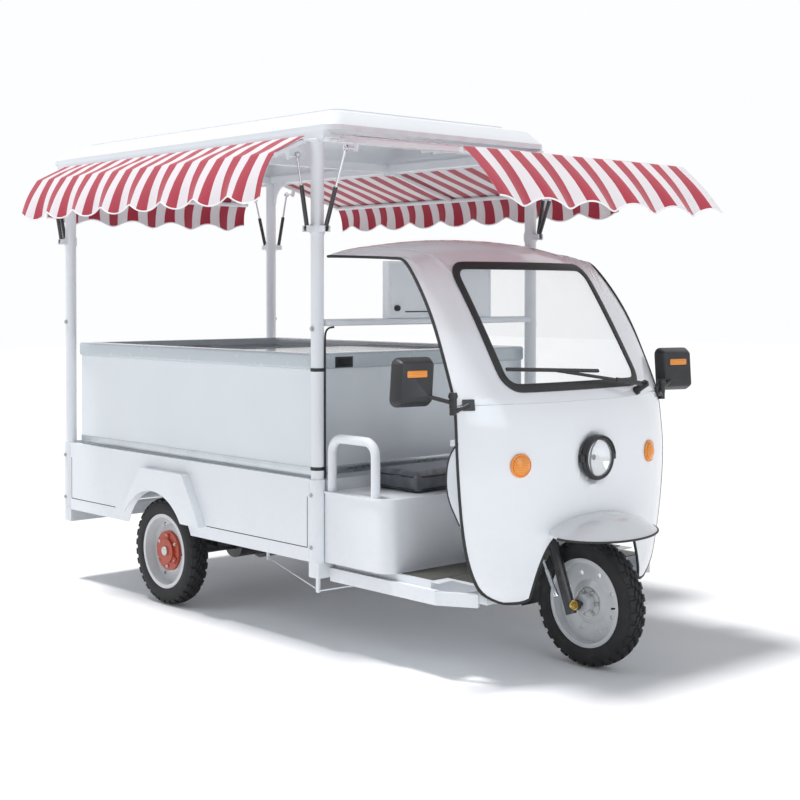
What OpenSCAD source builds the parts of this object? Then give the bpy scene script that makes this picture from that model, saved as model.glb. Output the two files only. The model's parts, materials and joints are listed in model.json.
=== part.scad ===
// Three-wheeled ice cream cart: a front cab over one steered wheel, a low bed
// with a chest freezer between four posts, and a roof with four striped awnings.
// +X points forward, +Y to the left, +Z up. The origin lies on the ground,
// midway between the axles.

/* [Wheels] */
// Distance between the front and rear axles
wheelbase = 1980; // [1900:1:2060]
// Outside diameter of the tyres
tyre_d = 480; // [470:1:486]
// Width of the tyres
tyre_w = 95; // [88:1:100]
// Diameter over the rim flanges
rim_d = 333; // [320:1:340]
// Distance between the centres of the rear tyres
track = 1130; // [1120:1:1136]
// Diameter of the rear hub caps
hub_cap_d = 178; // [150:1:190]
// Travel of the front fork and of the rear axle
travel = 40; // [20:1:44]

/* [Bed] */
// Length of the bed
bed_l = 2007; // [1980:1:2030]
// Width of the bed over its side panels
bed_w = 1264; // [1255:1:1280]
// Height of the bed panels
bed_h = 325; // [300:1:340]
// Height of the bed's lower edge above the ground
bed_z = 345; // [335:1:352]
// Bed behind the rear axle
bed_overhang = 865; // [840:1:890]
// Thickness of the bed panels
panel_t = 3; // [2:0.5:4]
// Height of the load deck above the ground
deck_z = 560; // [550:1:575]
// Thickness of the load deck
deck_t = 12; // [8:1:14]
// Radius of the wheel opening in the bed sides
arch_r = 275; // [268:1:285]
// How far the wheel arches stand out of the bed sides
arch_out = 38; // [30:1:45]

/* [Canopy] */
// Diameter of the corner posts
post_d = 52; // [44:1:56]
// Diameter of the sleeves at the foot of the posts
sleeve_d = 64; // [58:1:68]
// Distance from the bed's ends to the post centres
post_inset = 51; // [46:1:56]
// Height of the roof's lower edge
roof_z = 2033; // [2000:1:2060]
// Height of the roof shell
roof_h = 102; // [80:1:120]
// Width of the roof shell
roof_w = 1240; // [1215:1:1260]
// Roof in front of the front posts
roof_front = 97; // [80:1:110]
// Roof behind the rear posts
roof_back = 182; // [160:1:200]
// Depth of the beams under the roof
roof_beam = 36; // [30:1:40]
// Height of the cross rail behind the cab
rail_z = 1270; // [1240:1:1300]
// Diameter of the cross rail
rail_d = 28; // [24:1:30]

/* [Awnings] */
// Arm length of the front awning
front_arm = 726; // [690:1:760]
// Arm length of the right awning
right_arm = 159; // [150:1:190]
// Arm length of the left awning
left_arm = 426; // [400:1:450]
// Arm length of the rear awning
rear_arm = 150; // [145:1:170]
// Slope of the front awning
front_slope = 7.5; // [5:0.5:10]
// Slope of the right awning
right_slope = 24; // [20:0.5:28]
// Slope of the left awning
left_slope = 16; // [12:0.5:20]
// Slope of the rear awning
rear_slope = 45; // [40:0.5:50]
// Diameter of the awning bars
bar_d = 22; // [18:1:26]
// Length of one wave in the hem
wave = 240; // [220:1:260]
// Thickness of the awning cloth
cloth_t = 4; // [3:0.5:5]
// Height of the strut feet on the posts
strut_foot_z = 1650; // [1640:1:1660]

/* [Freezer] */
// Length of the freezer
freezer_l = 1824; // [1800:1:1826]
// Width over the freezer's rim
freezer_w = 1228; // [1210:1:1230]
// Height of the freezer's top above the ground
freezer_top = 1161; // [1140:1:1180]
// Height of the freezer's rim
rim_h = 63; // [58:1:70]
// Thickness of the freezer's insulated wall
freezer_wall = 62; // [55:1:70]

/* [Cab] */
// Width of the cab
cab_w = 1166; // [1140:1:1180]
// Thickness of the moulded shells
shell_t = 4; // [3:0.5:5]
// Width of the windscreen opening
screen_w = 746; // [720:1:760]
// Corner radius of the windscreen opening
screen_r = 55; // [40:1:65]
// Diameter of the headlamp
lamp_d = 168; // [150:1:180]
// Diameter of the turn signals
signal_d = 77; // [65:1:85]
// Length of the front visor
visor_l = 190; // [170:1:200]

/* [Seat] */
// Height of the seat box
seat_h = 278; // [260:1:290]
// Length of the seat box
seat_l = 361; // [345:1:380]
// Width of the seat box
seat_w = 1204; // [1180:1:1210]
// Thickness of the seat cushion
cushion_h = 84; // [70:1:95]
// Width of the seat cushion
cushion_w = 840; // [760:1:880]
// Length of the seat cushion
cushion_l = 300; // [270:1:320]
// Diameter of the arm hoops' tube
hoop_d = 36; // [30:1:40]
// Height of the arm hoops above the seat box
hoop_h = 226; // [200:1:240]

/* [Steering] */
// Backward lean of the steering axis
rake = 20; // [16:0.5:24]
// Distance between the fork legs
fork_w = 164; // [160:1:176]
// Diameter of the fork's upper tubes
fork_tube_d = 30; // [26:1:32]
// Diameter of the steering stem
stem_d = 28; // [24:1:32]
// Width of the handlebar
handlebar_w = 660; // [600:1:700]
// Diameter of the handlebar
handlebar_d = 22; // [20:1:25]

/* [Hidden] */
$fn = 48;

white = "white";
black = [0.08, 0.08, 0.08];
grey = [0.6, 0.62, 0.65];
cloth_red = [0.72, 0.16, 0.25];
amber = [1, 0.55, 0.05];

// Gap between pieces that are fitted but not fused
gap = 0.3;
// Seam between members that are welded into one frame
weld = 0.2;
// Radial clearance of a pin that turns in its bore
run = 0.06;

// Places along the length
rear_x = -wheelbase / 2;
front_x = wheelbase / 2;
wheel_r = tyre_d / 2;
bed_x0 = rear_x - bed_overhang;
bed_x1 = bed_x0 + bed_l;
post_x0 = bed_x0 + post_inset;
post_x1 = bed_x1 - post_inset + 17;
post_y = bed_w / 2 - 20;
roof_x0 = post_x0 - roof_back;
roof_x1 = post_x1 + roof_front;
bed_top = bed_z + bed_h;
freezer_x1 = post_x1 - post_d / 2 - 4;
freezer_x0 = freezer_x1 - freezer_l;
freezer_mid = (freezer_x0 + freezer_x1) / 2;

// Chassis members
rail_y = 330;
rail_w = 50;
rail_h = 80;
rail_top = deck_z - deck_t - gap;
outrigger_h = 60;
floor_t = 4;
floor_z = bed_z + 3;
floor_x1 = 700;
step_x1 = 885;
step_half = 480;
wheel_notch = 235;
cab_hw = cab_w / 2;
spring_half = 400;
spring_r = 850;
leaf_t = 8;
leaf_w = 50;
axle_r = 35;
spring_seat = 12;

// Seat
seat_x0 = bed_x1 + gap;
seat_x1 = seat_x0 + seat_l;
seat_z = floor_z + gap;
seat_top = seat_z + seat_h;

// Steering axis: a point at axle height and the lean of the axis
trail = 35;
steer_base = [front_x - trail, 0, wheel_r];
axle_local = [trail * cos(rake), 0, -trail * sin(rake)];
head_d0 = 480;
head_d1 = 640;
crown_d = 345;
bar_at = 790;
module on_steer(d = 0) { translate(steer_base) rotate([0, -rake, 0]) translate([0, 0, d]) children(); }
function steer_point(x, y, d) = steer_base
    + [x * cos(rake) - d * sin(rake), y, x * sin(rake) + d * cos(rake)];

// Smooth curve through stations, each a list that starts with its parameter
function station(st, h, i = 0) = i >= len(st) - 2 || h < st[i + 1][0] ? i : station(st, h, i + 1);
function tangent(st, i, c) = let (a = max(i - 1, 0), b = min(i + 1, len(st) - 1))
    (st[b][c] - st[a][c]) / (st[b][0] - st[a][0]);
function curve(st, h, c) = let (
    i = station(st, h), d = st[i + 1][0] - st[i][0], t = (h - st[i][0]) / d, u = t * t * (3 - 2 * t))
    st[i][c] * (1 - u) + st[i + 1][c] * u
    + d * (tangent(st, i, c) * t * (1 - t) * (1 - t) - tangent(st, i + 1, c) * t * t * (1 - t));
function mix(a, b, t) = a + (b - a) * t;
function unit(v) = v / norm(v);

// Cab surface: height along the profile, side edge x and z, centre line x and z, half width
cab_profile = [
    [285, 905, 285, 1010, 285, 430],
    [320, 893, 320, 1010, 320, 478],
    [360, 885, 360, 1010, 360, 506],
    [430, 878, 430, 1010, 430, 533],
    [500, 876, 500, 1011, 500, 551],
    [590, 876, 590, 1012, 590, 567],
    [770, 874, 770, 1016, 770, 583],
    [900, 864, 900, 1010, 900, 581],
    [999, 852, 999, 985, 999, 576],
    [1090, 818, 1090, 924, 1090, 570],
    [1338, 696, 1338, 755, 1338, 552],
    [1519, 545, 1519, 630, 1525, 532],
    [1600, 470, 1533, 560, 1575, 528],
    [1730, 350, 1539, 430, 1606, 528],
    [1900, 220, 1544, 255, 1619, 528],
    [2095, 75, 1548, 60, 1606, 528]];
cab_low = 285;
cab_seam = 999;
cab_high = 2095;
lamp_h = 785;
dish_r = 97;
dish_depth = 22;
function half_w(h) = curve(cab_profile, h, 5) * cab_w / 1166;
function edge_y(h) = half_w(h) - 3;
function wrap(y, h) = pow(1 - pow(min(0.9999, abs(y) / half_w(h)), 2.3), 0.8);
function dish(y, h) = let (d = norm([y, h - lamp_h]) / dish_r)
    d > 1 ? 0 : dish_depth * min(1, (1 - d) * 5);
function cab_point(y, h) = let (f = wrap(y, h)) [
    mix(curve(cab_profile, h, 1), curve(cab_profile, h, 3), f) - dish(y, h),
    y,
    mix(curve(cab_profile, h, 2), curve(cab_profile, h, 4), f)];
function cab_normal(y, h) = unit(cross(
    cab_point(y + 1, h) - cab_point(y - 1, h), cab_point(y, h + 1) - cab_point(y, h - 1)));
function cab_off(y, h, d) = cab_point(y, h) + d * cab_normal(y, h);
// Turns the z axis to a direction
module aim(v) {
    u = unit(v);
    rotate([0, acos(u[2]), atan2(u[1], u[0])]) children();
}

// A closed sheet between two grids of points; the first index may close on itself
module sheet(outer, inner, closed = false) {
    n = len(outer);
    m = len(outer[0]);
    cols = closed ? n : n - 1;
    points = concat([for (r = outer, p = r) p], [for (r = inner, p = r) p]);
    function at(i, j, side) = side * n * m + (i % n) * m + j;
    function quad(a, b, c, d) = [[a, b, c], [a, c, d]];
    skins = [for (i = [0:cols - 1], j = [0:m - 2]) each concat(
        quad(at(i, j, 0), at(i, j + 1, 0), at(i + 1, j + 1, 0), at(i + 1, j, 0)),
        quad(at(i, j, 1), at(i + 1, j, 1), at(i + 1, j + 1, 1), at(i, j + 1, 1)))];
    rims = [for (i = [0:cols - 1]) each concat(
        quad(at(i, 0, 0), at(i + 1, 0, 0), at(i + 1, 0, 1), at(i, 0, 1)),
        quad(at(i, m - 1, 0), at(i, m - 1, 1), at(i + 1, m - 1, 1), at(i + 1, m - 1, 0)))];
    ends = closed ? [] : [for (j = [0:m - 2]) each concat(
        quad(at(0, j, 0), at(0, j, 1), at(0, j + 1, 1), at(0, j + 1, 0)),
        quad(at(n - 1, j, 0), at(n - 1, j + 1, 0), at(n - 1, j + 1, 1), at(n - 1, j, 1)))];
    polyhedron(points, concat(skins, rims, ends), convexity = 6);
}

// A round tube swept along points, with a side direction for each of them
module swept_tube(path, sides_at, r, sides = 8) {
    n = len(path);
    function dir(i) = unit(path[min(i + 1, n - 1)] - path[max(i - 1, 0)]);
    points = [for (i = [0:n - 1], k = [0:sides - 1]) let (
        b = unit(cross(dir(i), sides_at[i])), a = cross(b, dir(i)), w = 360 * k / sides)
        path[i] + r * (cos(w) * a + sin(w) * b)];
    walls = [for (i = [0:n - 2], k = [0:sides - 1]) let (k2 = (k + 1) % sides)
        each [[i * sides + k, (i + 1) * sides + k, (i + 1) * sides + k2],
            [i * sides + k, (i + 1) * sides + k2, i * sides + k2]]];
    caps = [[for (k = [0:sides - 1]) k], [for (k = [sides - 1:-1:0]) (n - 1) * sides + k]];
    polyhedron(points, concat(walls, caps), convexity = 6);
}

// Rounded rectangle in the plane, and a plate of it
module round_rect(l, w, r) {
    square([l - 2 * r, w], center = true);
    square([l, w - 2 * r], center = true);
    for (sx = [-1, 1], sy = [-1, 1])
        translate([sx * (l / 2 - r), sy * (w / 2 - r)]) circle(r);
}
module box(x0, x1, y0, y1, z0, z1) { translate([x0, y0, z0]) cube([x1 - x0, y1 - y0, z1 - z0]); }
module bar(a, b, d) { translate(a) aim(b - a) cylinder(h = norm(b - a), d = d); }
module mirrored() {
    children();
    mirror([0, 1, 0]) children();
}

// Chassis

sill_y = cab_hw - 32;
sill_h = 52;
sill_t = 22;
sill_z = 296;
sill_x1 = 745;
low_rail_h = 66;
pedal_x = 600;
pedal_y = -190;
pedal_z = floor_z + 28;
pedal_pin = 6;
nose_stay_y = 330;
nose_stay_h = 700;

leaf_tip = spring_half * (spring_r + leaf_t) / spring_r;
module leaf_hangers() {
    hanger_z = spring_eye_z() - 16;
    for (sx = [-1, 1], sy = [-1, 1])
        translate([rear_x + sx * (leaf_tip + gap + 11), sy * rail_y, (hanger_z + rail_top - rail_h -
            weld) / 2])
            cube([22, leaf_w, rail_top - rail_h - weld - hanger_z], center = true);
}

module head_tube() {
    on_steer(head_d0) difference() {
        cylinder(h = head_d1 - head_d0, d = stem_d + 20);
        translate([0, 0, -1]) cylinder(h = head_d1 - head_d0 + 2, r = stem_d / 2 + run);
    }
}

neck_foot = [floor_x1 - 40, 0, floor_z - 24];
neck_top = steer_point(-stem_d / 2 - 6, 0, (head_d0 + head_d1) / 2);

module neck() {
    foot = neck_foot;
    difference() {
        bar(foot, neck_top, 56);
        on_steer(head_d0 - 60) cylinder(h = head_d1 - head_d0 + 120, d = stem_d + 20 + 2 * weld);
        box(foot[0] - 60, foot[0] + 60, -40, 40, foot[2] - 60, floor_z + weld);
    }
}

module nose_stays() {
    low = neck_foot;
    high = neck_top;
    beam = low + (high - low) * 0.8;
    for (s = [-1, 1]) {
        seat = cab_off(s * nose_stay_y, nose_stay_h, -shell_t - gap - 13.5);
        elbow = [beam[0], s * nose_stay_y, beam[2]];
        bar([elbow[0], s * 28.4, beam[2]], elbow, 30);
        translate(elbow) sphere(d = 34);
        bar(elbow, seat, 26);
        translate(seat) sphere(d = 27);
    }
}

module sills() {
    top = floor_z - floor_t - weld;
    mirrored() {
        box(post_x1 + 30 + weld, sill_x1, -sill_y - sill_t, -sill_y, sill_z - sill_h / 2, sill_z +
            sill_h / 2);
        translate([sill_x1 + weld, -sill_y - sill_t, sill_z - sill_h / 2]) rotate(30) cube([160,
            sill_t, sill_h - 4]);
        box(floor_x1 - 60, floor_x1, -sill_y + weld, -rail_y - rail_w / 2 - weld, sill_z - 18, top);
        box(step_x1 - 40, step_x1, -step_half + 32, -wheel_notch, sill_z - 22, top);
        box(seat_x0, sill_x1 - 60, -sill_y + weld, -sill_y + 16, sill_z + 10, top);
    }
}

// Brake linkage under the right front post
link_x = post_x1 - 12;
link_y = -bed_w / 2 + 32;
link_z = 222;
module brake_linkage() {
    box(link_x - 8, link_x + 8, link_y - 5, link_y + 5, link_z, bed_z - outrigger_h - weld);
    bar([link_x + 10, link_y, link_z + 8], [link_x + 250, -rail_y - rail_w / 2 - 4, sill_z - 10], 6);
    bar([link_x - 9, link_y + 2, link_z + 12], [rear_x + 540, -rail_y - 90, link_z + 38], 6);
    box(rear_x + 526, rear_x + 536, -rail_y - 95, -rail_y - 85, link_z + 30, rail_top - 40);
    box(rear_x + 526, rear_x + 536, -rail_y - 84.8, -rail_y - rail_w / 2 - weld, rail_top - 52,
        rail_top - 40);
}

module pedal_ears() {
    for (s = [-1, 1])
        translate([pedal_x - 14, pedal_y + s * 22 - 3, floor_z + weld]) cube([28, 6, 44]);
    translate([pedal_x, pedal_y - 25, pedal_z]) rotate([-90, 0, 0]) cylinder(h = 50, r = pedal_pin);
}

module chassis_frame() color(white) {
    low_top = bed_z - gap;
    inner = rail_y - rail_w / 2 - weld;
    outer = rail_y + rail_w / 2 + weld;
    for (s = [-1, 1]) {
        box(bed_x0 + 8, bed_x1 - 8, s * rail_y - rail_w / 2, s * rail_y + rail_w / 2, rail_top -
            rail_h, rail_top);
        box(post_x1 + 30 + weld, floor_x1, s * rail_y - rail_w / 2, s * rail_y + rail_w / 2, low_top -
            low_rail_h, low_top);
        for (x = [post_x0, post_x1])
            box(x - 30, x + 30, s * rail_y - rail_w / 2, s * rail_y + rail_w / 2,
                low_top + weld, rail_top - rail_h - weld);
    }
    for (x = [post_x0, post_x1])
        box(x - 30, x + 30, -bed_w / 2, bed_w / 2, bed_z - outrigger_h, low_top);
    for (x = [post_x0, (post_x0 + rear_x) / 2, rear_x, (rear_x + post_x1) / 2, post_x1])
        box(x - 25, x + 25, -inner, inner, rail_top - 50, rail_top);
    for (x = [seat_x1 - 40, floor_x1 - 50])
        box(x, x + 50, -inner, inner, low_top - 60, low_top);
    box(seat_x0, floor_x1, -sill_y, sill_y, floor_z - floor_t + weld, floor_z);
    for (s = [-1, 1]) {
        y0 = min(s * wheel_notch, s * sill_y);
        z0 = floor_z - floor_t + weld;
        box(floor_x1 + weld, sill_x1, y0, y0 + sill_y - wheel_notch, z0, floor_z);
        y1 = min(s * wheel_notch, s * step_half);
        box(sill_x1 + weld, step_x1, y1, y1 + step_half - wheel_notch, z0, floor_z);
    }
    sills();
    brake_linkage();
    neck();
    head_tube();
    nose_stays();
    leaf_hangers();
    pedal_ears();
}

// Cab shells

// Points of a rounded rectangle round the windscreen: y0 to y1, h0 to h1
corner_steps = 5;
side_steps = [14, 10];
function loop_corner(y, h, r, a0) = [for (k = [0:corner_steps])
    let (a = a0 + 90 * k / corner_steps) [y + r * cos(a), h + r * sin(a)]];
function between(p, q, n) = [for (k = [1:n - 1]) mix(p, q, k / n)];
function loop(hw, h0, h1, r) = let (
    a = loop_corner(hw - r, h0 + r, r, -90), b = loop_corner(hw - r, h1 - r, r, 0),
    c = loop_corner(-hw + r, h1 - r, r, 90), d = loop_corner(-hw + r, h0 + r, r, 180), n = corner_steps)
    concat(a, between(a[n], b[0], side_steps[1]), b, between(b[n], c[0], side_steps[0]),
        c, between(c[n], d[0], side_steps[1]), d, between(d[n], a[0], side_steps[0]));
screen_h0 = 1052;
screen_h1 = 1496;
screen_loop = loop(screen_w / 2, screen_h0, screen_h1, screen_r);
// The outer loop follows the cab's sides; its lower corners stay square against the seam
function outer_spot(p) = let (
    h = p[1] < cab_seam + 40 && abs(p[0]) < 1 - 40 / cab_hw ? cab_seam + gap : p[1]) [p[0] * edge_y(h), h];
roof_loop = loop(1, cab_seam + gap, cab_high, 0.0001);
shell_rings = 8;
module cab_top_shell() color(white) {
    last = [for (p = roof_loop) outer_spot(p)];
    ring = [for (i = [0:len(last) - 1]) [for (j = [0:shell_rings])
        mix(screen_loop[i], last[i], sin(90 * j / shell_rings))]];
    sheet([for (r = ring) [for (p = r) cab_off(p[0], p[1], -shell_t)]],
        [for (r = ring) [for (p = r) cab_point(p[0], p[1])]], true);
}

// Lower front: columns across the cab, each from the lower outline up to the seam.
// A column runs at a fixed part of the half width; the list gives the outline's height.
low_outline = [[0, 556], [0.15, 552], [0.3, 536], [0.43, 492], [0.52, 428], [0.61, 350], [0.7, 300],
    [0.78, 285.5], [1, 285.5]];
half_columns = [0, 0.042, 0.084, 0.122, 0.15, 0.172, 0.23, 0.3, 0.37, 0.43, 0.49, 0.55, 0.61, 0.66,
    0.72, 0.79,
    0.85, 0.9, 0.94, 0.97, 0.99, 1];
function low_h(c) = curve(low_outline, abs(c), 1);
function at_col(c, h) = [c * edge_y(h), h];
nose_rows = 17;
nose_columns = concat([for (k = [len(half_columns) - 1:-1:1]) -half_columns[k]], half_columns);
module cab_nose_shell() color(white) {
    grid = [for (c = nose_columns) [for (j = [0:nose_rows])
        at_col(c, mix(low_h(c), cab_seam - gap, j / nose_rows))]];
    sheet([for (r = grid) [for (p = r) cab_point(p[0], p[1])]],
        [for (r = grid) [for (p = r) cab_off(p[0], p[1], -shell_t)]]);
}

// Rubber edging round the sides and the lower rim of the cab
trim_r = 6;
side_hs = concat([2085, 2000, 1900, 1800, 1730], [for (h = [1690:-30:1510]) h], [for (h = [1470:-50:540]) h],
    [500, 460, 430, 395, 360, 335, 315]);
edge_line = concat([for (h = side_hs) at_col(1, h)],
    [for (k = [24:-1:-24]) at_col(k / 25, low_h(k / 25))],
    [for (k = [len(side_hs) - 1:-1:0]) at_col(-1, side_hs[k])]);
module cab_edge_trim() color(black) {
    n = len(edge_line);
    mid = [for (e = edge_line) cab_off(e[0], e[1], -shell_t / 2)];
    normals = [for (e = edge_line) cab_normal(e[0] * 0.995, e[1])];
    path = [for (i = [0:n - 1]) let (t = unit(mid[min(i + 1, n - 1)] - mid[max(i - 1, 0)]))
        mid[i] + unit(cross(normals[i], t)) * (trim_r + gap)];
    swept_tube(path, normals, trim_r, 6);
}

// Windscreen
function grow(p, d) = let (c = [0, (screen_h0 + screen_h1) / 2], k = screen_w / 2 - screen_r,
    m = (screen_h1 - screen_h0) / 2 - screen_r, q = p - c,
    core = [min(k, max(-k, q[0])), min(m, max(-m, q[1]))], v = q - core) c + core + unit(v) * (norm(v) + d);
seal_in = 14;
seal_out = 15;
seal_h = 9;
module windscreen_seal() color(black) {
    loops = [for (p = screen_loop) [grow(p, -seal_in), grow(p, 0), grow(p, seal_out)]];
    sheet([for (r = loops) [for (k = [0:2]) cab_off(r[k][0], r[k][1], gap + 0.2)]],
        [for (r = loops) [for (k = [0:2]) cab_off(r[k][0], r[k][1], k == 1 ? seal_h : seal_h * 0.55)]], true);
}

glass_rings = 4;
module windscreen_glass() {
    c = [0, (screen_h0 + screen_h1) / 2];
    n = len(screen_loop);
    rim = [for (p = screen_loop) grow(p, -3)];
    rings = [for (j = [1:glass_rings], p = rim) mix(c, p, j / glass_rings)];
    count = 1 + n * glass_rings;
    points = [for (d = [-0.4, -shell_t - 1]) each concat([cab_off(c[0], c[1], d)],
        [for (p = rings) cab_off(p[0], p[1], d)])];
    function at(i, j, s) = s * count + (j == 0 ? 0 : 1 + (j - 1) * n + (i % n));
    fans = [for (i = [0:n - 1]) each [[at(0, 0, 0), at(i + 1, 1, 0), at(i, 1, 0)],
        [at(0, 0, 1), at(i, 1, 1), at(i + 1, 1, 1)]]];
    skins = [for (i = [0:n - 1], j = [1:glass_rings - 1]) each [
        [at(i, j, 0), at(i + 1, j, 0), at(i + 1, j + 1, 0)], [at(i, j, 0), at(i + 1, j + 1, 0), at(i, j
            + 1, 0)],
        [at(i, j, 1), at(i + 1, j + 1, 1), at(i + 1, j, 1)], [at(i, j, 1), at(i, j + 1, 1), at(i + 1, j
            + 1, 1)]]];
    walls = [for (i = [0:n - 1]) let (j = glass_rings) each [
        [at(i, j, 0), at(i + 1, j, 0), at(i + 1, j, 1)], [at(i, j, 0), at(i + 1, j, 1), at(i, j, 1)]]];
    color([0.75, 0.9, 0.95, 0.4]) polyhedron(points, concat(fans, skins, walls), convexity = 4);
}

// Visor over the front wheel
visor_half = 262;
visor_low = 517;
visor_rise = 64;
visor_steps = 22;
module front_visor() {
    function root(a) = cab_off(visor_half * cos(a) * 0.92, visor_low + visor_rise * sin(a), gap + 0.6);
    function lip(a) = [1032 + (visor_l - 14) * pow(sin(a), 0.9), visor_half * cos(a), visor_low - 14 *
        sin(a)];
    function skin(a, t) = mix(root(a), lip(a), t) + [0, 0, 26 * sin(a) * sin(180 * t)];
    angles = [for (k = [0:visor_steps]) 4 + 172 * k / visor_steps];
    color(white) sheet([for (a = angles) [for (t = [0:0.2:1]) skin(a, t)]],
        [for (a = angles) [for (t = [0:0.2:1]) skin(a, t) - [0, 0, shell_t]]]);
}

// Lamps
lamp_seat = cab_off(0, lamp_h, gap);
module headlamp_bucket() color(black) {
    translate(lamp_seat) rotate([0, 90, 0]) rotate_extrude() difference() {
        polygon([[0, 0], [lamp_d / 2 - 30, 0], [lamp_d / 2, 22], [lamp_d / 2, 34], [lamp_d / 2 - 8,
            42], [0, 42]]);
        polygon([[-1, 10], [lamp_d / 2 - 20, 10], [lamp_d / 2 - 15, 30], [lamp_d / 2 - 15, 43], [-1, 43]]);
    }
}
module headlamp_lens() color([0.9, 0.92, 0.95, 0.5]) {
    r = lamp_d / 2 - 15 - gap;
    dome = 150;
    translate(lamp_seat + [30.2, 0, 0]) rotate([0, 90, 0]) intersection() {
        cylinder(h = 60, r = r);
        translate([0, 0, 28 - dome]) difference() {
            sphere(r = dome, $fn = 96);
            translate([0, 0, -4]) sphere(r = dome, $fn = 96);
        }
    }
}
signal_y = 368;
signal_h = 780;
module turn_signals() color(amber) {
    for (s = [-1, 1]) {
        n = cab_normal(s * signal_y, signal_h);
        translate(cab_off(s * signal_y, signal_h, gap - 0.1)) aim(n) {
            cylinder(h = 6, d = signal_d);
            translate([0, 0, 6]) intersection() {
                cylinder(h = 20, d = signal_d - 8);
                translate([0, 0, 14 - 60]) sphere(r = 60);
            }
        }
    }
}

// Panel under the windscreen with its dial, and the knee guards at its ends
dash_half = 400;
guard_y = 542;
guard_t = 5;
dash_z = 840;
function guard_front(h) = cab_point(guard_y + guard_t, h)[0]
    - (shell_t + gap) / cab_normal(guard_y + guard_t, h)[0];
module cab_lining() color([0.9, 0.9, 0.92]) {
    x0 = steer_point(0, 0, head_d1)[0] + stem_d / 2 + 22;
    difference() {
        translate([0, dash_half, 0]) rotate([90, 0, 0]) linear_extrude(2 * dash_half) polygon([[x0, dash_z],
            [x0 + 105, dash_z + 20], [x0 + 130, dash_z + 96], [x0 + 100, dash_z + 104], [x0, dash_z + 60]]);
        on_steer(head_d0 - 40) cylinder(h = 400, d = stem_d + 20 + 2 * gap);
    }
    translate([x0 + 30, 0, dash_z + 82]) rotate([0, -60, 0]) difference() {
        cylinder(h = 26, d = 92);
        translate([0, 0, 20]) cylinder(h = 7, d = 80);
    }
    mirrored() {
        box(x0 + 20, x0 + 74, -guard_y + weld, -dash_half - weld, dash_z + 8, dash_z + 30);
        translate([0, -guard_y, 0]) rotate([90, 0, 0]) linear_extrude(guard_t) polygon(concat([
            [854, 872], [816, 842], [790, 800], [779, 750], [779, 700], [790, 655], [822, 600], [852, 556],
            [852, 640]],
            [for (h = [640:40:840]) [guard_front(h), h]], [[854, 872]]));
    }
}

// Mirror feet and the wiper's spindle on the cab's skin
mirror_y = 538;
mirror_h = 1000;
mirror_pin = 7;
mirror_at = [862, 596, mirror_h];
wiper_y = 318;
wiper_h = 1016;
wiper_axis = unit([0.84, -0.04, 0.541]);
wiper_at = cab_off(wiper_y, wiper_h, gap + 0.5);
spindle_r = 6;
module cab_brackets() color(black) {
    mirrored() {
        n = cab_normal(mirror_y, mirror_h);
        foot = cab_off(mirror_y, mirror_h, gap + 0.2);
        translate([foot[0], -foot[1], foot[2]]) aim([n[0], -n[1], n[2]]) translate([0, 0, 4])
            cube([40, 44, 8], center = true);
        bar([foot[0] + 10 * n[0], -foot[1] - 10 * n[1], foot[2] + 10 * n[2]],
            [mirror_at[0], -mirror_at[1], mirror_at[2] - 24], 15);
        translate([mirror_at[0], -mirror_at[1], mirror_at[2] - 33]) cylinder(h = 25, r = 13);
        translate([mirror_at[0], -mirror_at[1], mirror_at[2] - 9]) cylinder(h = 40, r = mirror_pin);
    }
    translate(cab_off(wiper_y, wiper_h, gap)) aim(cab_normal(wiper_y, wiper_h)) cylinder(h = 10, r = 17);
    translate(wiper_at) aim(wiper_axis) {
        translate([0, 0, 6]) cylinder(h = arm_lift - 6 - gap, r = 14);
        translate([0, 0, 8]) cylinder(h = arm_lift + 17, r = spindle_r);
    }
}

// Wiper: arm and blade in one plane above the glass
arm_len = 466;
blade_len = 472;
arm_lift = 46;
arm_turn = 260;
blade_turn = 7;
module wiper_arm() color(black) {
    translate(wiper_at) aim(wiper_axis) translate([0, 0, arm_lift]) rotate(arm_turn) {
        difference() {
            union() {
                cylinder(h = 16, r = 15);
                translate([0, -8, 4]) cube([150, 16, 9]);
                translate([140, -5, 4]) cube([arm_len - 140, 10, 7]);
                translate([arm_len, 0, 4]) rotate(blade_turn) translate([-blade_len / 2, -6, 0])
                    cube([blade_len, 12, 8]);
            }
            translate([0, 0, -1]) cylinder(h = 18, r = spindle_r + 0.1);
        }
    }
}

// Mirrors
mirror_size = [44, 168, 176];
mirror_reach = 142;
right_swing = 41.4;
left_swing = 14;
module mirror_head(swing) {
    difference() {
        union() {
            translate([0, 0, -7]) cylinder(h = 34, r = 14);
            bar([0, 0, 10], [-mirror_reach * sin(swing), mirror_reach * cos(swing) - 20, 44], 15);
        }
        translate([0, 0, -8]) cylinder(h = 60, r = mirror_pin + run);
    }
    translate([-mirror_reach * sin(swing), mirror_reach * cos(swing), 84]) rotate(swing - 30) difference() {
        hull() for (sy = [-1, 1], sz = [-1, 1])
            translate([0, sy * (mirror_size[1] / 2 - 28) - (sz > 0 ? 8 : 0), sz * (mirror_size[2] / 2 -
                28)]) {
                translate([-12, 0, 0]) rotate([0, -90, 0]) cylinder(h = 10, r = 28, $fn = 32);
                translate([8, 0, 0]) sphere(r = 16, $fn = 24);
            }
        translate([-23, -mirror_size[1] / 2 + 20, -mirror_size[2] / 2 + 14])
            cube([6, mirror_size[1] - 44, mirror_size[2] - 28]);
    }
}
module right_mirror() color(black) translate([mirror_at[0], -mirror_at[1], mirror_at[2]])
    mirror([0, 1, 0]) mirror_head(right_swing);
module left_mirror() color(black) translate(mirror_at) mirror_head(left_swing);

// Bed

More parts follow.
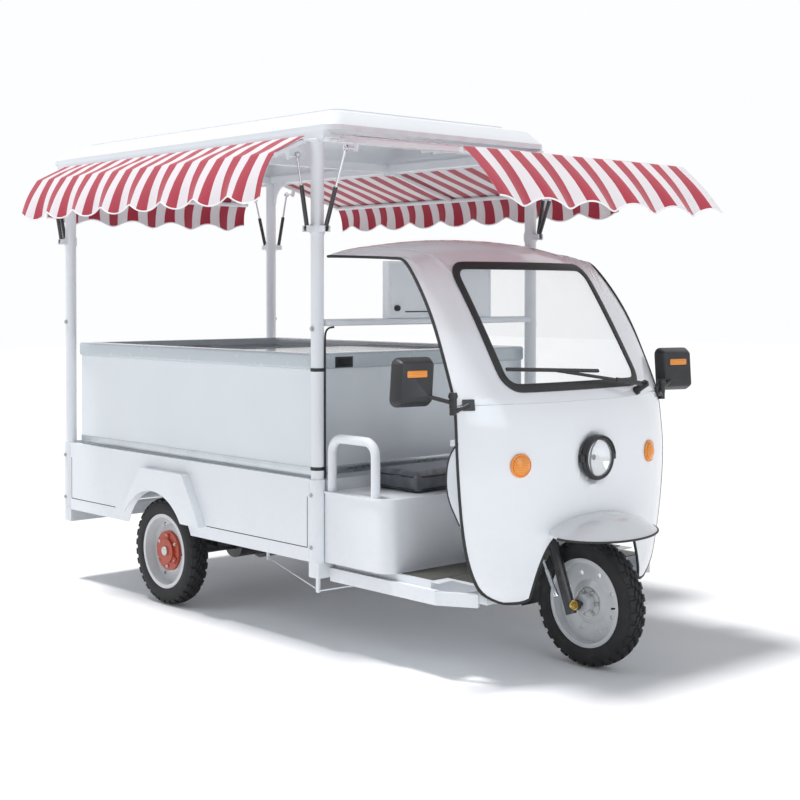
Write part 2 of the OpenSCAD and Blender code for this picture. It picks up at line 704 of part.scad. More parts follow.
module side_panel() {
    end = sqrt(pow(sleeve_d / 2, 2) - pow(bed_w / 2 - panel_t - post_y, 2)) + gap;
    lip = sleeve_d / 2 + 1;
    difference() {
        box(post_x0 + end, post_x1 - end, -bed_w / 2, -bed_w / 2 + panel_t, bed_z, bed_top);
        translate([rear_x, -bed_w / 2 - 1, wheel_r]) rotate([-90, 0, 0]) cylinder(h = panel_t + 2, r =
            arch_r);
    }
    box(post_x0 + lip, post_x1 - lip, -bed_w / 2 + panel_t + weld, -bed_w / 2 + 18, bed_top - panel_t,
        bed_top);
}
module end_panel(x0) { box(x0, x0 + panel_t, -post_y + 20, post_y - 20, bed_z, bed_top); }
module cargo_bed() color(white) {
    mirrored() side_panel();
    end_panel(bed_x0);
    end_panel(bed_x1 - panel_t);
    difference() {
        box(bed_x0 + panel_t + weld, bed_x1 - panel_t - weld, -bed_w / 2 + panel_t + weld, bed_w / 2 -
            panel_t - weld,
            deck_z - deck_t, deck_z);
        for (x = [post_x0, post_x1], s = [-1, 1])
            translate([x, s * post_y, 0]) {
                cylinder(h = deck_z + 1, r = sleeve_d / 2 + gap);
                translate([-sleeve_d, s > 0 ? 0 : -sleeve_d, 0]) cube([2 * sleeve_d, sleeve_d, deck_z + 1]);
            }
    }
}

arch_base = [240, 367];
arch_top = [102, 237];
arch_top_z = 612;
arch_low_z = 396;
module wheel_arch() {
    inner = -bed_w / 2 - gap;
    difference() {
        translate([rear_x, inner, 0]) rotate([90, 0, 0]) linear_extrude(arch_out) polygon([
            [-arch_base[0], arch_low_z], [arch_base[1], arch_low_z], [arch_base[1] - 30, arch_low_z + 60],
            [arch_top[1], arch_top_z], [-arch_top[0], arch_top_z], [-arch_base[0] + 20, arch_low_z + 60]]);
        translate([rear_x, inner - arch_out - 1, wheel_r]) rotate([-90, 0, 0]) cylinder(h = arch_out +
            2, r = arch_r + 1);
        translate([rear_x, inner - arch_out + panel_t, wheel_r]) rotate([-90, 0, 0])
            cylinder(h = arch_out, r = arch_r + 40);
    }
}
module wheel_arches() color(white) mirrored() wheel_arch();

// Canopy: posts, beams, hinge rods and strut pins

beam_z = roof_z - roof_beam;
hinge_z = 1995;
rod_r = 6;
knuckle_r = 12;
side_hinge = post_y + post_d / 2 + 8;
front_hinge = post_x1 + post_d / 2 + 66;
rear_hinge = -(post_x0 - post_d / 2) + 74;
foot_out = 24;
strut_pin = 5;

// Struts work in a plane across the hinge: outward distance and height
arm_at = 85;
arm_drop = 30;
function hang(slope) = [arm_at * cos(slope) - arm_drop * sin(slope), -arm_at * sin(slope) - arm_drop *
    cos(slope)];
side_foot = [post_y + post_d / 2 + foot_out, strut_foot_z];
front_foot = [post_x1 + post_d / 2 + foot_out, strut_foot_z];
rear_foot = [-post_x0 + post_d / 2 + foot_out, strut_foot_z];

// Each awning works in its own frame: x outward, y along the hinge, z up
module front_frame() children();
module right_frame() { rotate(-90) children(); }
module left_frame() { rotate(90) children(); }
module rear_frame() { rotate(180) children(); }
strut_half_side = (post_x1 - post_x0) / 2;
side_mid = (post_x0 + post_x1) / 2;
side_rod_half = strut_half_side + 45;
front_rod_half = post_y + 30;

module hinge_rod(out, half, lugs, inner, mid) {
    translate([out, -half, hinge_z]) rotate([-90, 0, 0]) cylinder(h = 2 * half, r = rod_r);
    for (p = [[-lugs, inner], [-34, mid], [34, mid], [lugs, inner]])
        translate([p[1], p[0] - 4, hinge_z - 9]) cube([out - p[1] + 8, 8, beam_z - hinge_z + 9 - weld]);
}
module strut_lug(foot) {
    translate([foot[0], -16, foot[1]]) rotate([-90, 0, 0]) cylinder(h = 32, r = strut_pin);
    for (s = [-1, 1]) difference() {
        translate([foot[0] - foot_out - 4, s * 13 - 3, foot[1] - 12]) cube([foot_out + 16, 6, 24]);
        translate([foot[0] - foot_out - post_d / 2, 0, foot[1] - 20])
            cylinder(h = 40, d = post_d + 8 + 2 * weld);
    }
}
module posts() {
    for (x = [post_x0, post_x1], s = [-1, 1]) translate([x, s * post_y, bed_z]) {
        cylinder(h = beam_z - bed_z - weld, d = post_d);
        cylinder(h = bed_h, d = sleeve_d);
        translate([0, 0, strut_foot_z - bed_z - 20]) cylinder(h = 40, d = post_d + 8);
    }
}
gusset = 110;
module canopy_frame() color(white) {
    posts();
    for (s = [-1, 1])
        box(-rear_hinge + 8, post_x1 + 60, s * post_y - 20, s * post_y + 20, beam_z, roof_z - gap);
    for (x = [post_x0, side_mid, post_x1])
        box(x - 20, x + 20, -post_y + 20 + weld, post_y - 20 - weld, beam_z, roof_z - gap);
    rail_half = post_y - post_d / 2 - weld;
    translate([post_x1 + 14, -rail_half, rail_z + rail_d / 2]) rotate([-90, 0, 0]) cylinder(h = 2 *
        rail_half, d = rail_d);
    for (x = [post_x0, post_x1], s = [-1, 1])
        translate([x, s * post_y, 0]) rotate([0, 0, x == post_x0 ? 0 : 180])
            translate([post_d / 2 + weld, -4, beam_z - weld]) rotate([-90, 0, 0]) linear_extrude(8)
                difference() {
                square([gusset, gusset]);
                translate([gusset, gusset]) circle(gusset - 16);
            }
    front_frame() hinge_rod(front_hinge, front_rod_half, post_y + 14, post_x1 + 32, post_x1 - 20);
    rear_frame() hinge_rod(rear_hinge, front_rod_half, post_y + 14, -post_x0 + 32, -post_x0 - 20);
    translate([side_mid, 0, 0]) {
        right_frame() hinge_rod(side_hinge, side_rod_half, side_arm - 20, post_y + 6, post_y + 6);
        left_frame() hinge_rod(side_hinge, side_rod_half, side_arm - 20, post_y + 6, post_y + 6);
        for (s = [-1, 1]) {
            right_frame() translate([0, s * strut_half_side, 0]) strut_lug(side_foot);
            left_frame() translate([0, s * strut_half_side, 0]) strut_lug(side_foot);
        }
    }
    for (s = [-1, 1]) {
        front_frame() translate([0, s * post_y, 0]) strut_lug(front_foot);
        rear_frame() translate([0, s * post_y, 0]) strut_lug(rear_foot);
    }
}

roof_inset = 120;
roof_lip = 22;
roof_t = 4;
module roof_form(d) {
    l = roof_x1 - roof_x0 - 2 * d;
    w = roof_w - 2 * d;
    translate([(roof_x0 + roof_x1) / 2, 0, 0]) hull() {
        translate([0, 0, roof_z - (d > 0 ? 1 : 0)]) linear_extrude(roof_lip) round_rect(l, w, 60, $fn = 32);
        translate([0, 0, roof_z + roof_h * 0.74 - d]) linear_extrude(1)
            round_rect(l - 90, w - 90, 60, $fn = 32);
        translate([0, 0, roof_z + roof_h - 8 - d]) linear_extrude(2)
            round_rect(l - 2 * roof_inset, w - 2 * roof_inset, 50, $fn = 32);
    }
}
module roof_shell() color(white) {
    difference() {
        roof_form(0);
        roof_form(roof_t);
    }
    translate([(roof_x0 + roof_x1) / 2, 0, roof_z + roof_h - 7])
        linear_extrude(7) round_rect(roof_x1 - roof_x0 - 2 * roof_inset - 20, roof_w - 2 * roof_inset -
            20, 45);
}

// Box for the switches on the cross rail
box_y0 = -264;
box_y1 = 330;
box_h = 232;
box_depth = 36;
module control_box() color(white) {
    z0 = rail_z + rail_d + gap;
    x1 = post_x1 + 14 + rail_d / 2;
    difference() {
        box(x1 - box_depth, x1, box_y0, box_y1, z0, z0 + box_h);
        box(x1 - box_depth - 1, x1 - 3, box_y0 + 3, box_y1 - 3, z0 + 3, z0 + box_h - 3);
    }
    translate([x1 - 1, box_y0 + 40, z0 + 40]) rotate([0, 90, 0]) cylinder(h = 16, r = 9);
}

// Freezer

freezer_base = deck_z + gap;
rim_z0 = freezer_top - rim_h;
cabinet_inset = 14;
skin_t = 2;
// An open box of plates with narrow seams between them
module tub(l, w, z0, z1, t) {
    translate([freezer_mid, 0, 0]) {
        box(-l / 2, l / 2, -w / 2, w / 2, z0, z0 + t);
        for (s = [-1, 1]) {
            translate([0, s * (w - t) / 2, (z0 + t + weld + z1) / 2]) cube([l, t, z1 - z0 - t - weld],
                center = true);
            translate([s * (l - t) / 2, 0, (z0 + t + weld + z1) / 2])
                cube([t, w - 2 * t - 2 * weld, z1 - z0 - t - weld], center = true);
        }
    }
}
lining_gap = 70;
module freezer_cabinet() color(white) {
    l = freezer_l - 2 * cabinet_inset;
    w = freezer_w - 2 * cabinet_inset;
    tub(l, w, freezer_base, rim_z0 - gap, skin_t);
    tub(l - 2 * freezer_wall, w - 2 * freezer_wall, freezer_base + lining_gap, rim_z0 - gap, skin_t);
    for (x = [-0.3, 0, 0.3])
        translate([freezer_mid + x * l - 30, -w / 2 + freezer_wall + 30, freezer_base + skin_t + weld])
            cube([60, w - 2 * freezer_wall - 60, lining_gap - skin_t - 2 * weld]);
}
lid_t = 8;
lower_track = rim_z0 + 24;
upper_track = rim_z0 + 42;
opening_l = freezer_l - 2 * cabinet_inset - 2 * freezer_wall - 8;
opening_w = freezer_w - 2 * cabinet_inset - 2 * freezer_wall - 8;
track_w = 34;
lip_w = 12;
module rim_side(l, w, t) {
    intersection() {
        translate([freezer_mid, 0, rim_z0]) linear_extrude(rim_h) round_rect(freezer_l, freezer_w, 26);
        translate([freezer_mid - l / 2, w > 0 ? w : w - t, rim_z0]) cube([l, t, rim_h]);
    }
}
module freezer_rim() color([0.8, 0.85, 0.9]) {
    side = (freezer_w - opening_w) / 2;
    end = (freezer_l - opening_l) / 2;
    for (s = [-1, 1]) {
        rim_side(freezer_l, s * opening_w / 2, side);
        translate([freezer_mid + s * (opening_l + end) / 2, 0, rim_z0 + rim_h / 2])
            cube([end, opening_w - 2 * weld, rim_h], center = true);
        edge = opening_w / 2 - weld;
        translate([freezer_mid, s * (edge - track_w / 2), (rim_z0 + lower_track - gap) / 2])
            cube([opening_l - 2 * weld, track_w, lower_track - gap - rim_z0], center = true);
        translate([freezer_mid, s * (edge - lip_w / 2), (lower_track + lid_t + upper_track) / 2])
            cube([opening_l - 2 * weld, lip_w, upper_track - lower_track - lid_t - 2 * gap], center = true);
    }
}
lid_overlap = 40;
module lid(x0, x1, half, z) {
    difference() {
        box(x0, x1, -half, half, z, z + lid_t);
        box(x0 + 26, x1 - 26, -half + 26, half - 26, z + lid_t - 2, z + lid_t + 1);
    }
    translate([x0 < freezer_mid - 200 ? x0 + 8 : x1 - 18, -90, z + lid_t - 1]) cube([10, 180, 5]);
}
module rear_lid() color([0.7, 0.8, 0.85, 0.5])
    lid(freezer_mid - opening_l / 2 + 1, freezer_mid + lid_overlap, opening_w / 2 - lip_w - 2, lower_track);
module front_lid() color([0.7, 0.8, 0.85, 0.5])
    lid(freezer_mid - lid_overlap, freezer_mid + opening_l / 2 - 1, opening_w / 2 - 1.5, upper_track);

// Seat

hoop_y = 582;
hoop_x0 = seat_x0 + 20;
hoop_x1 = seat_x1 - 84;
module hoop() {
    bend = 56;
    z = seat_top + hoop_h - hoop_d / 2;
    translate([0, -hoop_y, 0]) {
        for (x = [hoop_x0, hoop_x1])
            translate([x, 0, seat_top + weld]) cylinder(h = z - bend - seat_top - 2 * weld, d = hoop_d);
        translate([hoop_x0 + bend + weld, 0, z]) rotate([0, 90, 0])
            cylinder(h = hoop_x1 - hoop_x0 - 2 * bend - 2 * weld, d = hoop_d);
        for (k = [0:2]) {
            translate([hoop_x0 + bend, 0, z - bend]) rotate([90, 0, 0]) rotate([0, 0, 90 + 30 * k])
                rotate_extrude(angle = 29.8) translate([bend, 0]) circle(d = hoop_d);
            translate([hoop_x1 - bend, 0, z - bend]) rotate([90, 0, 0]) rotate([0, 0, 30 * k])
                rotate_extrude(angle = 29.8) translate([bend, 0]) circle(d = hoop_d);
        }
    }
}
seat_skin = 2;
seat_lip = 22;
seat_r = 60;
module seat_plan(d) {
    back = max(d, 0);
    translate([seat_x0 + back, -seat_w / 2 + d]) square([seat_l - seat_r - back, seat_w - 2 * d]);
    translate([seat_x0 + back, -seat_w / 2 + seat_r]) square([seat_l - back - d, seat_w - 2 * seat_r]);
    for (s = [-1, 1]) translate([seat_x1 - seat_r, s * (seat_w / 2 - seat_r)]) circle(seat_r - d);
}
module seat_box() color(white) {
    difference() {
        translate([0, 0, seat_z]) linear_extrude(seat_h) seat_plan(0);
        translate([0, 0, seat_z - 1]) linear_extrude(seat_h - 4) seat_plan(seat_skin);
    }
    translate([0, 0, seat_top - 8]) linear_extrude(8) seat_plan(-6);
    mirrored() hoop();
}

// Cushion: a crowned pad with sides drawn in between its corners
cushion_x0 = seat_x0 + 22;
cushion_mid = cushion_x0 + cushion_l / 2;
pad_steps = 48;
pad_levels = [[0, 0.965], [0.12, 0.995], [0.4, 1], [0.66, 0.985], [0.84, 0.94], [0.94, 0.86], [1, 0.7],
    [1.05, 0.45], [1.08, 0.2]];
function pad_plan(a, k) = let (c = cos(a), s = sin(a), pinch = 1 - 0.035 * pow(cos(2 * a), 2))
    [cushion_l / 2 * k * pinch * sign(c) * pow(abs(c), 0.42), cushion_w / 2 * k * (1 - 0.02 * pow(cos(2
        * a), 2)) * sign(s) * pow(abs(s), 0.42)];
module seat_cushion() color(black) {
    base = seat_top + gap;
    rings = [for (l = pad_levels, k = [0:pad_steps - 1])
        let (p = pad_plan(360 * k / pad_steps, l[1])) [cushion_mid + p[0], p[1], base + l[0] *
            cushion_h / 1.08]];
    n = pad_steps;
    top = len(rings);
    walls = [for (j = [0:len(pad_levels) - 2], k = [0:n - 1]) let (a = j * n + k, b = j * n + (k + 1) % n)
        each [[a, a + n, b + n], [a, b + n, b]]];
    bottom = [for (k = [0:n - 1]) k];
    lid = [for (k = [n - 1:-1:0]) top - n + k];
    polyhedron(rings, concat(walls, [bottom, lid]), convexity = 4);
}

battery_size = [180, 170, 190];
module battery_pack() color([0.15, 0.2, 0.3]) {
    for (k = [-2:2])
        translate([seat_x0 + 90, k * 185 - battery_size[1] / 2, seat_z]) {
            cube(battery_size);
            for (x = [30, 140]) translate([x, 85, battery_size[2]]) cylinder(h = 12, r = 8);
        }
}

// Bolts on the posts and sleeves
bolt_z = 1260;
module bolt_head(d) {
    rotate([90, 0, 0]) {
        cylinder(h = 3, d = d);
        cylinder(h = 8, d = d * 0.62, $fn = 6);
    }
}
module fasteners() color(grey) {
    mirrored() for (x = [post_x0, post_x1]) {
        translate([x, -post_y - post_d / 2 - gap, bolt_z]) bolt_head(22);
        for (z = [bed_z + 60, bed_top - 60])
            translate([x, -post_y - sleeve_d / 2 - gap, z]) bolt_head(18);
    }
}

// Leaf springs: stacked arcs that hang from the rails and rest on the axle
function spring_base() = wheel_r + axle_r + spring_seat + gap;
function spring_eye_z() = spring_base() + 4 * leaf_t + spring_r - sqrt(spring_r * spring_r -
    spring_half * spring_half) - leaf_t / 2;
module leaf(k, half) {
    r = spring_r + leaf_t * (3 - k);
    turn = asin(half / r);
    translate([rear_x, leaf_w / 2, spring_base() + 4 * leaf_t + spring_r]) rotate([90, 0, 0])
        rotate(-90 - turn)
        rotate_extrude(angle = 2 * turn, $fn = 180) translate([r, 0]) square([leaf_t, leaf_w]);
}
module leaf_springs() color(black) {
    for (s = [-1, 1]) translate([0, s * rail_y, 0])
        for (k = [0:3]) leaf(k, spring_half - (3 - k) * 85);
}

// Cable tied along the front right post
cable_d = 8;
cable_r = post_d / 2 + cable_d / 2 + gap;
cable_spot = [post_x1 + cable_r * cos(40), -post_y + cable_r * sin(40)];
cable_rail = [post_x1 + 14, rail_z - cable_d / 2 - gap];
cable_route = concat([[cable_rail[0], -post_y + 72, cable_rail[1]], [cable_rail[0], -post_y + 50,
    cable_rail[1] - 1],
    [mix(cable_rail[0], cable_spot[0], 0.4), -post_y + 33, cable_rail[1] - 9],
    [mix(cable_rail[0], cable_spot[0], 0.8), cable_spot[1] + 3, cable_rail[1] - 22]],
    [for (z = [rail_z - 50:-90:bed_top + 20]) [cable_spot[0], cable_spot[1], z]],
    [[cable_spot[0], cable_spot[1], bed_top + 4]]);
module post_cable() color(black) swept_tube(cable_route, [for (q = cable_route) [1, 0, 0]], cable_d / 2, 8);

// Front fork and steering

slider_d = fork_tube_d + 12;
module fork_crown() color(black) {
    on_steer() {
        translate([0, 0, crown_d]) cylinder(h = bar_at - 24 - crown_d, d = stem_d);
        difference() {
            translate([-30, -fork_w / 2 - 26, crown_d - 14]) cube([60, fork_w + 52, 28]);
        }
        for (s = [-1, 1]) translate([0, s * fork_w / 2, 110]) cylinder(h = crown_d - 110, d = fork_tube_d);
        difference() {
            translate([-24, -34, bar_at - 26]) cube([48, 68, 48]);
            translate([0, -40, bar_at]) rotate([-90, 0, 0]) cylinder(h = 80, r = handlebar_d / 2 + 0.1);
        }
    }
}
grip_l = 118;
grip_d = 33;
module handlebar() color(black) {
    on_steer(bar_at) rotate([-90, 0, 0]) {
        translate([0, 0, -handlebar_w / 2]) cylinder(h = handlebar_w, d = handlebar_d);
        translate([0, 0, handlebar_w / 2 - grip_l]) cylinder(h = grip_l + 4, d = grip_d);
        translate([0, 0, -handlebar_w / 2 + grip_l + gap]) cylinder(h = 30, d = grip_d + 8);
    }
}
module throttle_grip() color(black) {
    on_steer(bar_at) rotate([-90, 0, 0]) difference() {
        translate([0, 0, -handlebar_w / 2 - 4]) cylinder(h = grip_l + 4, d = grip_d);
        translate([0, 0, -handlebar_w / 2 - gap]) cylinder(h = grip_l + 5, r = handlebar_d / 2 + run);
    }
}
axle_d = 16;
slider_top = 230;
module fork_sliders() color(black) {
    on_steer() {
        for (s = [-1, 1]) translate([0, s * fork_w / 2, 0]) {
            difference() {
                translate([0, 0, -40]) cylinder(h = slider_top + 40, d = slider_d);
                translate([0, 0, 60]) cylinder(h = slider_top, r = fork_tube_d / 2 + run);
            }
            translate([0, -8, axle_local[2] - 20]) cube([axle_local[0], 16, 40]);
            translate([axle_local[0], -8, axle_local[2]]) rotate([-90, 0, 0]) cylinder(h = 16, r = 20);
        }
        translate([axle_local[0], -fork_w / 2 - 22, axle_local[2]]) rotate([-90, 0, 0]) cylinder(h =
            fork_w + 44, d = axle_d);
    }
}

// Wheels: local z is the axle, pointing outwards

flange_t = 5;
module tyre() {
    r0 = rim_d / 2 + 0.6;
    r = 42;
    rotate_extrude($fn = 96) difference() {
        union() {
            translate([r0, -tyre_w / 2 + r]) square([wheel_r - r0, tyre_w - 2 * r]);
            translate([r0, -tyre_w / 2]) square([wheel_r - r - r0, tyre_w]);
            for (s = [-1, 1]) translate([wheel_r - r, s * (tyre_w / 2 - r)]) circle(r);
        }
        translate([r0 - 40, -tyre_w]) square([40, 2 * tyre_w]);
    }
}
module rim_barrel(half) {
    rotate_extrude($fn = 96) {
        translate([rim_d / 2 - 16, -half]) square([5, 2 * half]);
        for (s = [-1, 1]) translate([rim_d / 2 - 16, s > 0 ? half - flange_t : -half]) square([16, flange_t]);
    }
}
hub_bore = 30;
module rear_rim() {
    difference() {
        union() {
            rim_barrel(42);
            rotate_extrude($fn = 96) polygon([[0, 6], [96, 6], [120, -8], [rim_d / 2 - 13, -8],
                [rim_d / 2 - 13, -14], [116, -14], [92, 0], [0, 0]]);
            translate([0, 0, -62]) cylinder(h = 64, r = 34);
            translate([0, 0, -62]) difference() {
                cylinder(h = 63, r = 88);
                translate([0, 0, -1]) cylinder(h = 58, r = 80);
            }
        }
        translate([0, 0, -63]) cylinder(h = 80, d = hub_bore + 2 * run);
        for (k = [0:5]) rotate(60 * k) translate([128, 0, -20]) cylinder(h = 20, r = 9);
    }
}
module hub_cap() {
    difference() {
        union() {
            translate([0, 0, 6 + gap]) cylinder(h = 14, d = hub_cap_d);
            translate([0, 0, 20]) cylinder(h = 12, d = hub_cap_d * 0.62);
            for (k = [0:2]) rotate(120 * k) translate([-14, 0, 18]) cube([28, hub_cap_d * 0.44, 9]);
        }
        translate([0, 0, 5]) cylinder(h = 18, d = hub_bore + 10);
    }
}
module wheel_at(side) { translate([rear_x, side * track / 2, wheel_r]) rotate([-90 * side, 0, 0])
    children(); }
module right_tyre() color(black) wheel_at(-1) tyre();
module left_tyre() color(black) wheel_at(1) tyre();
module right_rim() color(grey) wheel_at(-1) rear_rim();
module left_rim() color(grey) wheel_at(1) rear_rim();
module right_hub_cap() color([0.85, 0.25, 0.12]) wheel_at(-1) hub_cap();
module left_hub_cap() color([0.85, 0.25, 0.12]) wheel_at(1) hub_cap();

rim_holes = 8;
module front_rim() color(grey) translate([front_x, 0, wheel_r]) rotate([90, 0, 0]) {
    difference() {
        union() {
            rim_barrel(38);
            rotate_extrude($fn = 96) polygon([[0, 12], [60, 12], [84, 0], [rim_d / 2 - 13, 0],
                [rim_d / 2 - 13, -6], [82, -6], [56, 6], [0, 6]]);
            translate([0, 0, -50]) cylinder(h = 100, r = 34);
            translate([0, 0, -50]) cylinder(h = 56, r = 58);
        }
        translate([0, 0, -51]) cylinder(h = 102, r = axle_d / 2 + run);
        for (k = [0:rim_holes - 1]) rotate(360 * (k + 0.5) / rim_holes) translate([112, 0, -10])
            cylinder(h = 20, r = 9);
    }
}
module front_tyre() color(black) translate([front_x, 0, wheel_r]) rotate([90, 0, 0]) tyre();

plate_y = track / 2 - 78;
module rear_axle() color(black) {
    translate([rear_x, 0, wheel_r]) {
        rotate([90, 0, 0]) {
            cylinder(h = 2 * plate_y, r = axle_r, center = true);
            cylinder(h = 150, r = 92, center = true);
            translate([0, 0, 75]) cylinder(h = 150, r = 74);
            for (s = [-1, 1]) {
                translate([0, 0, s * plate_y - 6]) cylinder(h = 12, r = 100);
                translate([0, 0, s > 0 ? plate_y : -track / 2 + 1]) cylinder(h = track / 2 - 1 -
                    plate_y, d = hub_bore);
            }
        }
        for (s = [-1, 1])
            translate([-60, s * rail_y - leaf_w / 2, 0]) cube([120, leaf_w, axle_r + spring_seat]);
    }
}

// Awnings: arms, bar and strut pins in the awning's own frame

module arm_frame(out, span, arm, slope, spots, pins) {
    translate([out, 0, hinge_z]) rotate([0, slope, 0]) {
        for (y = spots) {
            difference() {
                union() {
                    translate([0, y - 14, 0]) rotate([-90, 0, 0]) cylinder(h = 28, r = knuckle_r);
                    translate([0, y - 8, -8]) cube([arm, 16, 16]);
                }
                translate([0, y - 15, 0]) rotate([-90, 0, 0]) cylinder(h = 30, r = rod_r + run);
            }
        }
        translate([arm, span[0] + 6, 0]) rotate([-90, 0, 0]) cylinder(h = span[1] - span[0] - 12, d = bar_d);
        for (p = pins) {
            s = sign(p[1] - p[0]);
            translate([arm_at, p[0] - 4, -arm_drop - 10]) cube([18, 8, arm_drop + 10 - 6], center = false);
            translate([arm_at, min(p[0], p[1]), -arm_drop]) rotate([-90, 0, 0]) cylinder(h = abs(p[1] -
                p[0]), r = 4);
        }
    }
}

// Cloth: from the roof's edge over the bar, then a flared valance with a wavy hem
valance_rows = 5;
top_rows = 3;
function cloth_bend(arm, slope, root) = let (
    c = [arm * cos(slope), -arm * sin(slope)], v = c - root, x = c[0] + bar_d / 2 + 0.8,
    lean = atan2(v[1], v[0]) + asin((bar_d / 2 + gap) / norm(v)))
    [x, root[1] + (x - root[0]) * tan(lean)];
function cloth_section(arm, slope, root, hem, t) = let (a = cloth_bend(arm, slope, root))
    t < 1 ? mix(root, a, t) : mix(a, hem, t - 1) + [10, 4] * sin(180 * (t - 1));
function rows() = concat([for (k = [0:top_rows]) k / top_rows], [for (k = [1:valance_rows]) 1 + k /
    valance_rows]);
hem_rise = 16;
hem_ripple = 12;
module cloth(out, span, arm, slope, root, hem) {
    count = round((span[1] - span[0]) / wave * 6);
    function spot(y, t, d) = let (
        p = cloth_section(arm, slope, root, hem, t), q = cloth_section(arm, slope, root, hem, t + 0.02),
        n = unit([p[1] - q[1], q[0] - p[0]]) * d, fall = pow(max(0, t - 1), 2), ph = 360 * (y -
            span[0]) / wave)
        [out + p[0] + n[0] + hem_ripple * fall * sin(ph), y, hinge_z + p[1] + n[1] + hem_rise * fall *
            cos(ph)];
    ys = [for (k = [0:count]) mix(span[0], span[1], k / count)];
    sheet([for (y = ys) [for (t = rows()) spot(y, t, 0)]], [for (y = ys) [for (t = rows()) spot(y, t,
        cloth_t)]]);
}

front_half = 628;
rear_half = 608;
arm_side = 44;
pin_gap = 10;
side_arm = strut_half_side - arm_side;
end_arm = post_y - arm_side;
side_pins = [for (s = [-1, 1]) [s * side_arm, s * (strut_half_side + pin_gap)]];
end_pins = [for (s = [-1, 1]) [s * end_arm, s * (post_y + pin_gap)]];
front_span = [-front_half, front_half];
rear_span = [-rear_half, rear_half];
right_span = [-side_arm - 20, side_arm + 20];
left_span = [-side_arm - 150, side_arm + 28];
module front_awning_frame() color(white) front_frame()
    arm_frame(front_hinge, front_span, front_arm, front_slope, [-end_arm, 0, end_arm], end_pins);
module right_awning_frame() color(white) translate([side_mid, 0, 0]) right_frame()
    arm_frame(side_hinge, right_span, right_arm, right_slope, [-side_arm, 0, side_arm], side_pins);
module left_awning_frame() color(white) translate([side_mid, 0, 0]) left_frame()
    arm_frame(side_hinge, left_span, left_arm, left_slope, [-side_arm, 0, side_arm], side_pins);
module rear_awning_frame() color(white) rear_frame()
    arm_frame(rear_hinge, rear_span, rear_arm, rear_slope, [-end_arm, 0, end_arm], end_pins);

cloth_root = [10, knuckle_r + 4];
front_hem = [910, -280];
right_hem = [238, -236];
left_hem = [452, -232];
rear_hem = [142, -232];
module front_awning_cloth() color(cloth_red) front_frame()
    cloth(front_hinge, front_span, front_arm, front_slope, cloth_root, front_hem);
module right_awning_cloth() color(cloth_red) translate([side_mid, 0, 0]) right_frame()
    cloth(side_hinge, right_span, right_arm, right_slope, cloth_root, right_hem);
module left_awning_cloth() color(cloth_red) translate([side_mid, 0, 0]) left_frame()
    cloth(side_hinge, left_span, left_arm, left_slope, cloth_root, left_hem);
module rear_awning_cloth() color(cloth_red) rear_frame()
    cloth(rear_hinge, rear_span, rear_arm, rear_slope, cloth_root, rear_hem);

// Gas struts: a cylinder on the post and a rod that slides in it
cylinder_l = 170;
cylinder_d = 18;
strut_rod_d = 9;
eye_clear = 4;
module strut_pair(spots, foot, top, rods) {
    v = [top[0] - foot[0], top[1] - foot[1]];
    len = norm(v);
    for (y = spots) translate([foot[0], y, foot[1]]) rotate([0, atan2(v[0], v[1]), 0]) {
        if (!rods) difference() {
            union() {
                rotate([-90, 0, 0]) cylinder(h = 14, r = 10, center = true);
                translate([0, 0, 8]) cylinder(h = cylinder_l - 8, d = cylinder_d);
            }
            rotate([-90, 0, 0]) cylinder(h = 20, r = strut_pin + run, center = true);
            translate([0, 0, 24]) cylinder(h = cylinder_l, r = strut_rod_d / 2 + run);
        }
        if (rods) difference() {
            union() {
                translate([0, 0, cylinder_l - 60]) cylinder(h = len - cylinder_l + 60 - 8, d = strut_rod_d);
                translate([0, 0, len]) rotate([-90, 0, 0]) cylinder(h = 8, r = 13, center = true);
            }
            translate([0, 0, len]) rotate([-90, 0, 0]) cylinder(h = 10, r = 4 + eye_clear, center = true);
        }
    }
}
function strut_top(out, slope) = [out, hinge_z] + hang(slope);
module end_struts(foot, out, slope, rods) { strut_pair([-post_y, post_y], foot, strut_top(out, slope),
    rods); }
module front_strut_cylinders() color(black) front_frame() end_struts(front_foot, front_hinge,
    front_slope, false);
module front_strut_rods() color(grey) front_frame() end_struts(front_foot, front_hinge, front_slope, true);
module rear_strut_cylinders() color(black) rear_frame() end_struts(rear_foot, rear_hinge, rear_slope, false);
module rear_strut_rods() color(grey) rear_frame() end_struts(rear_foot, rear_hinge, rear_slope, true);
module side_pair(slope, rods) {
    strut_pair([-strut_half_side, strut_half_side], side_foot, strut_top(side_hinge, slope), rods);
}
module right_strut_cylinders() color(black) translate([side_mid, 0, 0]) right_frame()
    side_pair(right_slope, false);
module right_strut_rods() color(grey) translate([side_mid, 0, 0]) right_frame() side_pair(right_slope, true);
module left_strut_cylinders() color(black) translate([side_mid, 0, 0]) left_frame()
    side_pair(left_slope, false);
module left_strut_rods() color(grey) translate([side_mid, 0, 0]) left_frame() side_pair(left_slope, true);

// Brake pedal
module brake_pedal() color(black) {
    translate([pedal_x, pedal_y, pedal_z]) {
        difference() {
            union() {
                rotate([-90, 0, 0]) cylinder(h = 34, r = 12, center = true);
                rotate([0, -50, 0]) translate([0, -6, -7]) cube([130, 12, 14]);
            }
            rotate([-90, 0, 0]) cylinder(h = 36, r = pedal_pin + run, center = true);
        }
        rotate([0, -50, 0]) translate([118, -35, -14]) cube([12, 70, 60]);
    }
}

